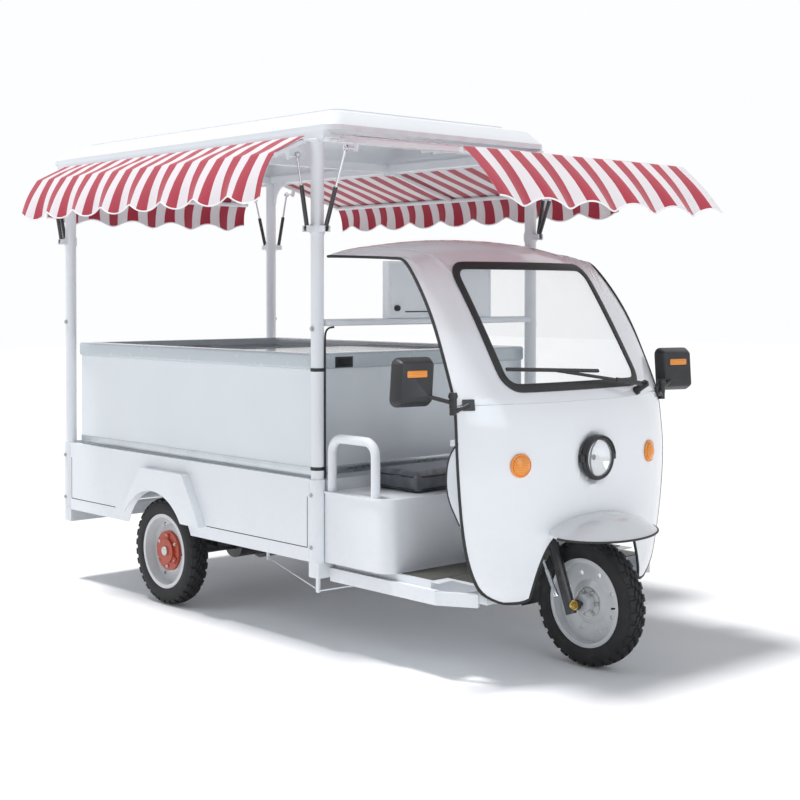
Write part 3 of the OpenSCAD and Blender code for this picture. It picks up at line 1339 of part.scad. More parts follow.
chassis_frame();
cab_top_shell();
cab_nose_shell();
cab_edge_trim();
windscreen_seal();
windscreen_glass();
front_visor();
headlamp_bucket();
headlamp_lens();
turn_signals();
cab_lining();
cab_brackets();
cargo_bed();
wheel_arches();
canopy_frame();
roof_shell();
control_box();
freezer_cabinet();
freezer_rim();
seat_box();
seat_cushion();
battery_pack();
fasteners();
leaf_springs();
post_cable();
fork_crown();
handlebar();
throttle_grip();
fork_sliders();
front_tyre();
front_rim();
rear_axle();
right_tyre();
right_rim();
right_hub_cap();
left_tyre();
left_rim();
left_hub_cap();
front_awning_frame();
front_awning_cloth();
right_awning_frame();
right_awning_cloth();
left_awning_frame();
left_awning_cloth();
rear_awning_frame();
rear_awning_cloth();
front_strut_cylinders();
front_strut_rods();
right_strut_cylinders();
right_strut_rods();
left_strut_cylinders();
left_strut_rods();
rear_strut_cylinders();
rear_strut_rods();
wiper_arm();
right_mirror();
left_mirror();
rear_lid();
front_lid();
brake_pedal();
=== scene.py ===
import json
import math
import bpy
import bmesh
from mathutils import Matrix, Vector

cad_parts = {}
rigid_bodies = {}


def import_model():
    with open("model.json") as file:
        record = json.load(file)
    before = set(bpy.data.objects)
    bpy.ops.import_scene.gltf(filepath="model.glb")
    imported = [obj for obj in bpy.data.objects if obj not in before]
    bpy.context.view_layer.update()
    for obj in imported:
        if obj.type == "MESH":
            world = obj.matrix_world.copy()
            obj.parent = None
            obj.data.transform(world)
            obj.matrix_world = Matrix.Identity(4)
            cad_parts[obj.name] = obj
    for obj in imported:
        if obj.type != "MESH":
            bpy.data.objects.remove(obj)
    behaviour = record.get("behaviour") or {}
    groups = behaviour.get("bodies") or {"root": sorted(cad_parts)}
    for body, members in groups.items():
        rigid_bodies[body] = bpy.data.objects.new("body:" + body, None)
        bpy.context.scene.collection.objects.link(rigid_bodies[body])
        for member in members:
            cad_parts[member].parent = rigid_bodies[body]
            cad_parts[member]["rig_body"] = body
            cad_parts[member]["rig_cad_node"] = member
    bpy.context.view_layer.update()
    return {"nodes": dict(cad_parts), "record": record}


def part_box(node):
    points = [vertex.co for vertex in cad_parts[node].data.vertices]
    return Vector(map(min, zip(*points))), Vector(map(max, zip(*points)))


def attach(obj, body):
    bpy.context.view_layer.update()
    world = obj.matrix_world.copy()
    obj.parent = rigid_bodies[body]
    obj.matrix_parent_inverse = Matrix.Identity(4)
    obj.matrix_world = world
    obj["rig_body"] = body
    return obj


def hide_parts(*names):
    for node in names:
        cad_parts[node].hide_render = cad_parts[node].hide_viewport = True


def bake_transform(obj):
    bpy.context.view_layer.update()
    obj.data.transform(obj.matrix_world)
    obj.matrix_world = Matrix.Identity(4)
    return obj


for thing in list(bpy.data.objects):  # an empty stage
    bpy.data.objects.remove(thing)
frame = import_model()
nodes = frame["nodes"]
print("frame loaded:", len(nodes), "CAD nodes")


# hand tools: choosing, placing, shaping

def clearPick():
    if bpy.context.object and bpy.context.object.mode != "OBJECT":
        bpy.ops.object.mode_set(mode="OBJECT")
    bpy.ops.object.select_all(action="DESELECT")


def choose(obj):
    clearPick()
    obj.select_set(True)
    bpy.context.view_layer.objects.active = obj


def named(name):
    obj = bpy.context.object
    obj.name = name
    obj.data.name = name
    return obj


def settle(obj):  # the place goes into the mesh
    choose(obj)
    bpy.ops.object.transform_apply(location=True, rotation=True, scale=True)
    return obj


def edit(obj, kind="FACE"):
    choose(obj)
    bpy.ops.object.mode_set(mode="EDIT")
    bpy.ops.mesh.select_mode(type=kind)


def done():
    bpy.ops.object.mode_set(mode="OBJECT")


def pick(obj, test, kind="FACE"):  # in edit mode, by place or normal
    bpy.ops.mesh.select_mode(type=kind)
    bpy.ops.mesh.select_all(action="DESELECT")
    mesh = bmesh.from_edit_mesh(obj.data)
    mesh.faces.ensure_lookup_table()
    group = {"FACE": mesh.faces, "EDGE": mesh.edges, "VERT": mesh.verts}[kind]
    for item in group:
        if test(item):
            item.select_set(True)
    mesh.select_flush_mode()
    bmesh.update_edit_mesh(obj.data)


def outward(obj):
    edit(obj)
    bpy.ops.mesh.select_all(action="SELECT")
    bpy.ops.mesh.remove_doubles(threshold=1e-6)
    bpy.ops.mesh.normals_make_consistent(inside=False)
    done()
    return obj


def useModifier(obj, kind, **settings):
    choose(obj)
    modifier = obj.modifiers.new(kind.title(), kind)
    for key, value in settings.items():
        setattr(modifier, key, value)
    bpy.ops.object.modifier_apply(modifier=modifier.name)
    return obj


def along(axis):
    return Vector((0, 0, 1)).rotation_difference(Vector(axis)).to_euler()


def block(name, size, at, turn=(0, 0, 0), edge=0.002, steps=2):
    clearPick()
    bpy.ops.mesh.primitive_cube_add(size=1, location=at, rotation=turn)
    obj = named(name)
    obj.scale = size
    settle(obj)
    edit(obj, "EDGE")
    bpy.ops.mesh.select_all(action="SELECT")
    bpy.ops.mesh.bevel(offset=min(edge, min(size) * 0.45), segments=steps, affect="EDGES")
    done()
    return obj


def turned(name, profile, at=(0, 0, 0), axis=(0, 0, 1), sides=48, ends=True):
    clearPick()
    radius, height = profile[0]
    bpy.ops.mesh.primitive_circle_add(vertices=sides, radius=radius, fill_type="NOTHING", location=(0, 0, height))
    obj = named(name)
    settle(obj)
    edit(obj, "EDGE")
    bpy.ops.mesh.select_all(action="SELECT")
    for r, h in profile[1:]:
        bpy.ops.mesh.extrude_region()
        bpy.ops.transform.resize(value=(r / radius, r / radius, 1), center_override=(0, 0, height))
        bpy.ops.transform.translate(value=(0, 0, h - height))
        radius, height = r, h
    if ends:
        for level in (profile[0][1], profile[-1][1]):
            ring = profile[0][0] if level == profile[0][1] else profile[-1][0]
            pick(obj, lambda e: e.is_boundary and all(abs(v.co.z - level) < 1e-7
                 and abs(v.co.xy.length - ring) < 1e-5 for v in e.verts), "EDGE")
            bpy.ops.mesh.edge_face_add()
    done()
    outward(obj)
    obj.rotation_euler = along(axis)
    obj.location = at
    return settle(obj)


def ringOf(name, profile, at, axis=(0, 0, 1), sides=64):  # closed section turned round an axis
    obj = turned(name, profile + [profile[0]], (0, 0, 0), (0, 0, 1), sides, ends=False)
    outward(obj)
    obj.rotation_euler = along(axis)
    obj.location = at
    return settle(obj)


def tube(name, path, radius, closed=False, steps=3, smooth=True):
    clearPick()
    line = bpy.data.curves.new(name, "CURVE")
    line.dimensions = "3D"
    line.bevel_depth = radius
    line.bevel_resolution = steps
    line.use_fill_caps = not closed
    line.resolution_u = 6
    spline = line.splines.new("BEZIER")
    spline.bezier_points.add(len(path) - 1)
    for spot, place in zip(spline.bezier_points, path):
        spot.co = place
        spot.handle_left_type = spot.handle_right_type = "AUTO" if smooth else "VECTOR"
    spline.use_cyclic_u = closed
    obj = bpy.data.objects.new(name, line)
    bpy.context.scene.collection.objects.link(obj)
    choose(obj)
    bpy.ops.object.convert(target="MESH")
    return outward(named(name))


def joined(name, parts):
    clearPick()
    for part in parts:
        part.select_set(True)
    bpy.context.view_layer.objects.active = parts[0]
    if len(parts) > 1:
        bpy.ops.object.join()
    return named(name)


def copied(obj, name, shift=(0, 0, 0), turn=None, flip=None):  # each copy has its own mesh
    choose(obj)
    bpy.ops.object.duplicate(linked=False)
    twin = named(name)
    if turn:
        twin.rotation_euler = turn
    if flip:
        twin.scale = flip
    twin.location = shift
    settle(twin)
    return outward(twin) if flip else twin


def smoothCopy(node, name, level=1, sharp=35):  # a welded, finer copy of a CAD skin
    clearPick()
    nodes[node].select_set(True)
    bpy.context.view_layer.objects.active = nodes[node]
    bpy.ops.object.duplicate(linked=False)
    obj = named(name)
    bpy.ops.object.parent_clear(type="CLEAR_KEEP_TRANSFORM")
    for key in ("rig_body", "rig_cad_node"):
        del obj[key]
    edit(obj, "EDGE")
    bpy.ops.mesh.customdata_custom_splitnormals_clear()
    bpy.ops.mesh.select_all(action="SELECT")
    bpy.ops.mesh.remove_doubles(threshold=2e-5)
    bpy.ops.mesh.tris_convert_to_quads(face_threshold=math.radians(25), shape_threshold=math.radians(60))
    limit = math.radians(sharp)
    pick(obj, lambda e: len(e.link_faces) == 2 and e.calc_face_angle(0) > limit, "EDGE")
    bpy.ops.transform.edge_crease(value=1)
    done()
    if level:
        useModifier(obj, "SUBSURF", levels=level, render_levels=level)
    return obj


def dress(obj, finish, body, stands=(), angle=32):
    choose(obj)
    obj.data.materials.clear()
    obj.data.materials.append(finish)
    bpy.ops.object.shade_smooth_by_angle(angle=math.radians(angle))
    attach(obj, body)
    if stands:
        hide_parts(*stands)
    return obj


# finishes: sockets joined by plain sums

class Wire:
    def __init__(self, finish, socket):
        self.finish, self.socket = finish, socket

    def sum(self, operation, *others):
        node = self.finish.node("Math", {"operation": operation})
        for slot, value in zip(node.inputs, (self, *others)):
            self.finish.feed(slot, value)
        return Wire(self.finish, node.outputs[0])

    def __add__(self, other): return self.sum("ADD", other)
    __radd__ = __add__
    def __mul__(self, other): return self.sum("MULTIPLY", other)
    __rmul__ = __mul__
    def __sub__(self, other): return self.sum("SUBTRACT", other)
    def __rsub__(self, other): return Wire(self.finish, self.sum("MULTIPLY", -1).socket) + other
    def __gt__(self, other): return self.sum("GREATER_THAN", other)
    def __lt__(self, other): return self.sum("LESS_THAN", other)
    def __mod__(self, other): return self.sum("FLOORED_MODULO", other)
    def __pow__(self, other): return self.sum("POWER", other)
    def __abs__(self): return self.sum("ABSOLUTE")

    def clip(self, low, high):
        node = self.finish.node("MapRange", {"clamp": True}, From_Min=low, From_Max=high, Value=self)
        return Wire(self.finish, node.outputs[0])


class Finish:
    def __init__(self, name, colour, roughness, **shader):
        self.material = bpy.data.materials.new(name)
        self.material.use_nodes = True
        self.tree = self.material.node_tree
        self.shader = self.tree.nodes["Principled BSDF"]
        self.set(Base_Color=(*colour[:3], 1), Roughness=roughness, **shader)
        self.place = self.node("TexCoord").outputs["Object"]

    def feed(self, socket, value):
        if isinstance(value, Wire):
            value = value.socket
        if isinstance(value, bpy.types.NodeSocket):
            self.tree.links.new(value, socket)
        else:
            socket.default_value = value

    def node(self, kind, settings=None, **sockets):
        node = self.tree.nodes.new("ShaderNode" + kind)
        for key, value in (settings or {}).items():
            if key == "stops":
                while len(node.color_ramp.elements) < len(value):
                    node.color_ramp.elements.new(0.5)
                for element, (spot, colour) in zip(node.color_ramp.elements, value):
                    element.position, element.color = spot, (*colour, 1)
            else:
                setattr(node, key, value)
        for key, value in sockets.items():
            self.feed(node.inputs[key.replace("_", " ")], value)
        return node

    def set(self, **sockets):
        for key, value in sockets.items():
            self.feed(self.shader.inputs[key.replace("_", " ")], value)
        return self

    def noise(self, scale, detail=3, stretch=None, at=None):
        where = at or self.place
        if stretch:
            where = self.node("Mapping", {}, Vector=where, Scale=stretch).outputs[0]
        node = self.node("TexNoise", {}, Vector=where, Scale=scale, Detail=detail)
        return Wire(self, node.outputs[0])

    def axis(self, letter, at=None):
        return Wire(self, self.node("SeparateXYZ", {}, Vector=at or self.place).outputs[letter])

    def mix(self, share, first, second):
        node = self.node("Mix", {"data_type": "RGBA"})
        for slot, value in ((0, share), (6, first), (7, second)):
            if not isinstance(value, (Wire, bpy.types.NodeSocket, float, int)):
                value = (*value[:3], 1)
            self.feed(node.inputs[slot], value)
        return node.outputs[2]

    def bump(self, height, depth, strength=0.4):
        node = self.node("Bump", {}, Strength=strength, Distance=depth, Height=height)
        return self.set(Normal=node.outputs[0])


def srgb(red, green, blue):
    return tuple(c / 3294.6 if c < 10.3 else ((c / 255 + 0.055) / 1.055) ** 2.4 for c in (red, green, blue))


def paintedFinish(name, colour, rough, coat, dust=0.25, grain=900, depth=0.0002, soil=None):
    f = Finish(name, colour, rough, Coat_Weight=coat, Coat_Roughness=0.08)
    cloud = f.noise(3.5, 4)
    speck = f.noise(38, 5)
    low = 1 - f.axis("Z").clip(0.15, 0.75)
    dirt = (low * speck.clip(0.48, 0.8)) * dust
    shade = soil or tuple(c * 0.72 for c in colour)
    tint = f.mix(cloud.clip(0.3, 0.75), tuple(c * 0.97 for c in colour), colour)
    f.set(Base_Color=f.mix(dirt, tint, shade), Roughness=rough + (speck - 0.5) * 0.1 + dirt * 0.3)
    return f.bump(f.noise(grain, 2), depth, 0.12).material


def grainFinish(name, colour, rough, scale, depth, pale=None, metal=0.0, strength=0.35, **shader):
    f = Finish(name, colour, rough, Metallic=metal, **shader)
    cloud = f.noise(9, 5)
    fine = f.noise(scale, 3)
    light = pale or tuple(min(1, c * 1.35 + 0.004) for c in colour)
    f.set(Base_Color=f.mix(cloud.clip(0.35, 0.75), colour, light), Roughness=rough + (fine - 0.5) * 0.16)
    return f.bump(fine, depth, strength).material


def brushedFinish(name, colour, rough, stretch, scale=60):
    f = Finish(name, colour, rough, Metallic=1.0)
    lines = f.noise(scale, 4, stretch)
    smear = f.noise(7, 4)
    f.set(Base_Color=f.mix(smear.clip(0.3, 0.8), tuple(c * 0.86 for c in colour), colour),
          Roughness=rough + (lines - 0.5) * 0.18 + (smear - 0.5) * 0.1)
    return f.bump(lines, 0.0003, 0.15).material


def clearFinish(name, colour, body, edge, rough=0.03, ribs=None):
    f = Finish(name, colour, rough, IOR=1.45, Specular_IOR_Level=0.6)
    rimLight = Wire(f, f.node("LayerWeight", {}, Blend=0.35).outputs["Facing"])
    haze = f.noise(14, 4)
    f.set(Alpha=(rimLight ** 2.0) * edge + body + (haze - 0.5) * 0.03, Roughness=rough + haze * 0.03)
    if ribs:
        letter, pitch, depth = ribs
        f.bump(abs((f.axis(letter) % pitch) - pitch / 2), depth, 0.5)
    return f.material


def lensFinish(name, colour, pitch, glow):
    f = Finish(name, colour, 0.12, Coat_Weight=0.7, Coat_Roughness=0.05, Emission_Strength=glow,
               Emission_Color=(*colour, 1))
    wave = abs((f.axis("Z") % pitch) - pitch / 2) * (2 / pitch)
    # the rib grooves get the darker colour: painted shade in the grooves
    f.set(Base_Color=f.mix(wave.clip(0.1, 0.9), tuple(c * 0.72 for c in colour), colour))
    return f.bump(wave, 0.0012, 0.5).material


def stripedCloth(name, red, white, pitch):
    f = Finish(name, red, 0.82, Sheen_Weight=0.25, Sheen_Roughness=0.5)
    cloth = f.node("UVMap", {"uv_map": "UVMap"}).outputs[0]
    run, fall = f.axis("X", cloth), f.axis("Y", cloth)
    waver = (f.noise(30, 3, None, cloth) - 0.5) * 0.003
    stripe = abs(((run + waver) % pitch) - pitch / 2).clip(pitch / 4 - 0.0006, pitch / 4 + 0.0006)
    fade = f.noise(2.2, 5, None, cloth).clip(0.3, 0.8)
    dark = f.mix(fade, tuple(c * 0.8 for c in red), red)
    pale = f.mix(fade, tuple(c * 0.93 for c in white), white)
    weave = (abs((run % 0.0024) - 0.0012) + abs((fall % 0.0024) - 0.0012)) * 420
    thread = f.mix(stripe, dark, pale)
    f.set(Base_Color=f.mix(weave.clip(0.1, 1.0) * 0.16, thread, tuple(c * 0.6 for c in red)),
          Roughness=0.74 + fade * 0.14)
    return f.bump(weave + f.noise(60, 4, None, cloth) * 1.5, 0.0005, 0.3).material


def tyreFinish(name):
    f = Finish(name, (0.016, 0.016, 0.017), 0.7, Specular_IOR_Level=0.35)
    dust = f.noise(24, 6).clip(0.45, 0.85)
    fine = f.noise(420, 3)
    f.set(Base_Color=f.mix(dust * 0.4, (0.014, 0.014, 0.015), (0.075, 0.072, 0.068)),
          Roughness=0.62 + dust * 0.22)
    return f.bump(fine + f.noise(60, 4) * 2, 0.0006, 0.4).material


def vinylFinish(name, colour):
    f = Finish(name, colour, 0.34, Coat_Weight=0.55, Coat_Roughness=0.1)
    cells = f.node("TexVoronoi", {"feature": "DISTANCE_TO_EDGE"}, Vector=f.place, Scale=260)
    grain = Wire(f, cells.outputs[0]).clip(0.0, 0.12)
    creaseAndPaintedShade = f.noise(16, 6)
    # the colour is lighter on the raised folds of the crease bump and darker in its hollows: painted highlight and
    # painted shade
    f.set(Base_Color=f.mix(creaseAndPaintedShade.clip(0.35, 0.75), colour, tuple(c * 2.2 for c in colour)),
          Roughness=0.26 + creaseAndPaintedShade * 0.22)
    return f.bump(grain * 0.25 + creaseAndPaintedShade * 3, 0.0022, 0.5).material


def plateFinish(name, colour, pitch):  # ribbed mat on the cab's floor
    f = Finish(name, colour, 0.45)
    rib = abs((f.axis("Y") % pitch) - pitch / 2) * (2 / pitch)
    worn = f.noise(8, 6).clip(0.4, 0.75)
    f.set(Base_Color=f.mix(worn, colour, tuple(c * 1.9 for c in colour)), Roughness=0.5 - worn * 0.16,
          Metallic=worn * 0.4)
    return f.bump(rib + f.noise(200, 3) * 0.4, 0.0015, 0.5).material


shellWhite = srgb(243, 245, 248)
frameWhite = srgb(238, 241, 245)
finishes = {
    "white_paint": paintedFinish("frameEnamel", frameWhite, 0.34, 0.25),
    "white_shell": paintedFinish("cabGelCoat", shellWhite, 0.2, 0.7, 0.18, 260, 0.0003),
    "lining_white": grainFinish("liningPlastic", srgb(214, 218, 224), 0.55, 500, 0.0004, srgb(224, 228, 233)),
    "black_rubber": grainFinish("sealRubber", (0.012, 0.012, 0.013), 0.55, 700, 0.0003),
    "black_plastic": grainFinish("blackPlastic", (0.016, 0.016, 0.018), 0.42, 1200, 0.0004),
    "black_steel": paintedFinish("blackEnamel", (0.015, 0.015, 0.017), 0.36, 0.3, 0.5, 600, 0.0003,
                                 (0.1, 0.095, 0.09)),
    "glass": clearFinish("windscreenGlass", (0.62, 0.72, 0.76), 0.07, 0.5),
    "lamp_glass": clearFinish("lampGlass", (0.9, 0.93, 0.96), 0.1, 0.55, 0.03, ("Y", 0.012, 0.002)),
    "amber": lensFinish("amberLens", srgb(244, 146, 12), 0.006, 0.1),
    "freezer_skin": paintedFinish("freezerPanel", srgb(232, 237, 241), 0.3, 0.4, 0.1, 420, 0.0002),
    "freezer_rim": paintedFinish("freezerRim", srgb(196, 204, 210), 0.26, 0.5, 0.0, 300, 0.0002),
    "lid_glass": clearFinish("lidGlass", srgb(168, 182, 186), 0.2, 0.5),
    "vinyl": vinylFinish("seatVinyl", srgb(66, 69, 75)),
    "battery": grainFinish("batteryCase", (0.02, 0.03, 0.06), 0.5, 500, 0.0004),
    "zinc": brushedFinish("zincPlate", srgb(196, 196, 192), 0.36, (1, 1, 1), 220),
    "tyre": tyreFinish("tyreRubber"),
    "rim_silver": paintedFinish("silverPaint", srgb(212, 214, 216), 0.34, 0.3, 0.2, 700, 0.0002),
    "hub_red": paintedFinish("hubRed", srgb(182, 72, 46), 0.45, 0.2, 0.6, 400, 0.0003),
    "awning_cloth": stripedCloth("stripedCloth", srgb(186, 44, 68), srgb(243, 238, 240), 0.115),
    "strut_black": paintedFinish("strutBlack", (0.018, 0.018, 0.02), 0.22, 0.5, 0.1, 600, 0.0002),
    "strut_rod": brushedFinish("rodChrome", srgb(226, 228, 232), 0.12, (1, 1, 1), 90),
}
pipingWhite = grainFinish("pipingTape", srgb(240, 238, 238), 0.7, 900, 0.0005)
frameGrey = grainFinish("lidFrameGrey", srgb(132, 138, 142), 0.46, 900, 0.0003, srgb(150, 156, 160))
brushedBand = brushedFinish("aluminiumBand", srgb(206, 212, 216), 0.3, (0.04, 1, 1), 140)
mirrorSilver = brushedFinish("mirrorSilver", srgb(222, 228, 234), 0.04, (1, 1, 1), 3)
bowlChrome = brushedFinish("bowlChrome", srgb(236, 238, 240), 0.08, (1, 1, 1), 8)
redLens = lensFinish("tailLampRed", srgb(200, 28, 32), 0.005, 0.08)
dialFace = grainFinish("dialFace", (0.02, 0.02, 0.022), 0.4, 600, 0.0002)
floorMat = plateFinish("floorMat", srgb(72, 72, 66), 0.014)
yellowZinc = brushedFinish("yellowZinc", srgb(196, 168, 96), 0.34, (1, 1, 1), 200)
for row in frame["record"]["subparts"]:
    for place in nodes[row["node"]].material_slots:
        place.material = finishes[row["material_slot"]]
print("finishes:", len(finishes), "slots")


# camera, light and floor

shot = {"place": (4.505, -4.146, 1.398), "yaw": 42.144, "pitch": 0.828, "lens": 64.70, "shift": -0.1071}
yaw, pitch = math.radians(shot["yaw"]), math.radians(shot["pitch"])
look = Vector((-math.cos(yaw) * math.cos(pitch), math.sin(yaw) * math.cos(pitch), -math.sin(pitch)))
bpy.ops.object.select_all(action="DESELECT")
bpy.ops.object.camera_add(location=shot["place"], rotation=look.to_track_quat("-Z", "Y").to_euler())
camera = bpy.context.object
camera.data.lens, camera.data.sensor_width = shot["lens"], 36
camera.data.shift_y = shot["shift"]
camera.data.clip_end = 200
bpy.context.scene.camera = camera

light = {"ambient": 0.30, "key": (76, (-2.6, -5.2, 5.4), 3.2), "front": (84, (6.5, -1.0, 3.6), 3.6),
         "sun": (2.5, (-1.0, -0.9, 6.0), 9), "shade": (0.80, 0.90, 1.0)}
for name in ("key", "front"):
    power, place, size = light[name]
    aim = (Vector((0, 0, 0.9)) - Vector(place)).to_track_quat("-Z", "Y").to_euler()
    bpy.ops.object.light_add(type="AREA", location=place, rotation=aim)
    lamp = bpy.context.object
    lamp.name = name + "Light"
    lamp.data.energy, lamp.data.size = power, size
    lamp.data.color = light["shade"]
strength, place, spread = light["sun"]
bpy.ops.object.light_add(type="SUN", location=place, rotation=(-Vector(place)).to_track_quat("-Z", "Y").to_euler())
bpy.context.object.data.energy, bpy.context.object.data.angle = strength, math.radians(spread)
world = bpy.data.worlds.new("studio")
bpy.context.scene.world = world
world.use_nodes = True
sky, links = world.node_tree.nodes, world.node_tree.links
rays = sky.new("ShaderNodeLightPath")
seen = sky.new("ShaderNodeMath"); seen.operation = "MAXIMUM"
seenToo = sky.new("ShaderNodeMath"); seenToo.operation = "MAXIMUM"
blendSky = sky.new("ShaderNodeMix")
blendSky.inputs[2].default_value, blendSky.inputs[3].default_value = light["ambient"], 1.0
links.new(rays.outputs["Is Camera Ray"], seen.inputs[0])
links.new(rays.outputs["Is Glossy Ray"], seen.inputs[1])
links.new(seen.outputs[0], seenToo.inputs[0])
links.new(rays.outputs["Is Transmission Ray"], seenToo.inputs[1])
links.new(seenToo.outputs[0], blendSky.inputs[0])
links.new(blendSky.outputs[0], sky["Background"].inputs["Strength"])
sky["Background"].inputs["Color"].default_value = (0.985, 0.99, 1, 1)
bpy.context.scene.view_settings.view_transform = "Standard"

bpy.ops.object.select_all(action="DESELECT")
bpy.ops.mesh.primitive_plane_add(size=60, location=(0, 0, -0.001))
ground = named("studioFloor")
floorFinish = Finish("studioFloor", srgb(250, 250, 251), 0.9, Specular_IOR_Level=0.1, Emission_Strength=0.03)
floorFinish.set(Emission_Color=(0.95, 0.97, 1.0, 1.0))
floorFinish.set(Roughness=0.85 + floorFinish.noise(3) * 0.1)
ground.data.materials.append(floorFinish.material)
print("camera, light and floor ready")


# cab: welded, finer skins over the CAD surfaces

for node, name, slot, level in (
        ("cab_top_shell", "cabTop", "white_shell", 1), ("cab_nose_shell", "cabNose", "white_shell", 1),
        ("front_visor", "noseVisor", "white_shell", 1), ("windscreen_seal", "windscreenSeal", "black_rubber", 1),
        ("windscreen_glass", "windscreenPane", "glass", 1), ("cab_edge_trim", "cabEdgeTrim", "black_rubber", 1),
        ("post_cable", "postCable", "black_rubber", 1), ("roof_shell", "roofShell", "white_paint", 0),
        ("right_mirror", "rightMirrorCase", "black_plastic", 0),
        ("left_mirror", "leftMirrorCase", "black_plastic", 0)):
    skin = smoothCopy(node, name, level)
    body = {"right_mirror": "mirror_r", "left_mirror": "mirror_l"}.get(node, "vehicle")
    dress(skin, finishes[slot], body, [node], 38)
print("cab skins smoothed")

lampSpec = {"bowl": [(0.011, 0.012), (0.02, 0.0135), (0.038, 0.018), (0.056, 0.0265), (0.0670, 0.0335)],
            "bezel": [(0.0687, 0.0335), (0.0687, 0.0415), (0.0715, 0.0452), (0.076, 0.0462), (0.0797, 0.0437),
                      (0.08, 0.0385), (0.0755, 0.0425), (0.0715, 0.0424)],
            "bulb": [(0.009, 0.0125), (0.009, 0.019), (0.0065, 0.021), (0.0072, 0.026), (0.0075, 0.032),
                     (0.006, 0.0365), (0.003, 0.039)],
            "hood": [(0.0842, 0.021), (0.0847, 0.03), (0.085, 0.036), (0.083, 0.047), (0.0807, 0.0475),
                     (0.0807, 0.0435)],
            "hoodFrom": 0.012, "bowlThick": 0.0012, "hoodThick": 0.0022,
            "clip": (0.02, 0.016, 0.03), "clipAt": (0.03, 0.089, 0.004)}
lampLow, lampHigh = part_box("headlamp_bucket")
lampAt = (lampLow.x, 0, (lampLow.z + lampHigh.z) / 2)
front = (1, 0, 0)
bezel = ringOf("lampBezel", lampSpec["bezel"], lampAt, front, 72)
dress(bezel, finishes["black_plastic"], "vehicle")
bowl = turned("lampBowl", lampSpec["bowl"], lampAt, front, 64, ends=False)
useModifier(bowl, "SOLIDIFY", thickness=lampSpec["bowlThick"], offset=1)
dress(bowl, bowlChrome, "vehicle")
bulb = turned("lampBulb", lampSpec["bulb"], lampAt, front, 24)
dress(bulb, finishes["lamp_glass"], "vehicle")
hood = turned("lampHood", lampSpec["hood"], lampAt, front, 72, ends=False)
edit(hood)
pick(hood, lambda f: f.calc_center_median().z < lampAt[2] + lampSpec["hoodFrom"])  # the hood covers the upper part
bpy.ops.mesh.delete(type="FACE")
done()
useModifier(hood, "SOLIDIFY", thickness=lampSpec["hoodThick"], offset=1)
dress(hood, finishes["black_plastic"], "vehicle")
clipX, clipY, clipZ = lampSpec["clipAt"]
clips = [block("lampClip", lampSpec["clip"], (lampAt[0] + clipX, s * clipY, lampAt[2] + clipZ), edge=0.004, steps=3)
         for s in (-1, 1)]
dress(joined("lampClips", clips), finishes["black_plastic"], "vehicle")

signalSpec = {"at": (0.9751, 0.368, 0.780), "axis": (0.9657, 0.2594, 0.0123), "radius": 0.0385}
seats = []
for s in (-1, 1):
    x, y, z = signalSpec["at"]
    nx, ny, nz = signalSpec["axis"]
    r = signalSpec["radius"]
    lipOut = [(r + 0.0003, 0.001), (r + 0.0045, 0.001), (r + 0.005, 0.0035), (r + 0.003, 0.0068),
              (r + 0.0003, 0.0075)]
    seats.append(ringOf("signalSeat", lipOut, (x, s * y, z), (nx, s * ny, nz), 56))
dress(joined("signalSeats", seats), finishes["amber"], "vehicle")
print("lamps done")

visorSpec = {"root": 1.032, "reach": 0.176, "half": 0.262, "low": 0.517, "drop": 0.014, "radius": 0.0042, "steps": 28}
lip = []
for k in range(visorSpec["steps"] + 1):
    a = math.radians(6 + 168 * k / visorSpec["steps"])
    lip.append((visorSpec["root"] + visorSpec["reach"] * math.sin(a) ** 0.9, visorSpec["half"] * math.cos(a),
                visorSpec["low"] - visorSpec["drop"] * math.sin(a) - 0.002))
visorTrim = tube("visorTrim", lip, visorSpec["radius"])
dress(visorTrim, finishes["black_rubber"], "vehicle")
print("visor trim done")

mirrorSpec = {"pin": (0.862, 0.596, 1.0), "reach": 0.142, "rise": 0.084, "glass": (0.003, 0.118, 0.142),
              "lamp": (0.012, 0.084, 0.026),
              "collar": [(0.0125, 0), (0.0172, 0.001), (0.0172, 0.012), (0.0148, 0.016), (0.0148, 0.0205)]}
for side, swing, body in ((-1, 41.4, "mirror_r"), (1, 14.0, "mirror_l")):
    label = "right" if side < 0 else "left"
    a, facing = math.radians(swing), math.radians(swing - 30) * side
    px, py, pz = mirrorSpec["pin"]
    hub = Vector((px - mirrorSpec["reach"] * math.sin(a), side * (py + mirrorSpec["reach"] * math.cos(a)),
                  pz + mirrorSpec["rise"]))
    turn = Matrix.Rotation(facing, 3, "Z")
    glass = block(label + "MirrorGlass", mirrorSpec["glass"], hub + turn @ Vector((-0.0192, -0.002 * side, 0)),
                  (0, 0, facing), 0.012, 4)
    dress(glass, mirrorSilver, body)
    lamp = block(label + "MirrorLamp", mirrorSpec["lamp"], hub + turn @ Vector((0.0205, -0.004 * side, 0.03)),
                 (0, 0, facing), 0.005, 3)
    dress(lamp, finishes["amber"], body)
    collar = turned(label + "MirrorCollar", mirrorSpec["collar"], (px, side * py, pz + 0.0265), (0, 0, 1), 32)
    dress(collar, finishes["black_plastic"], body)
print("mirrors done")


# wheels: one tyre is modelled and copied

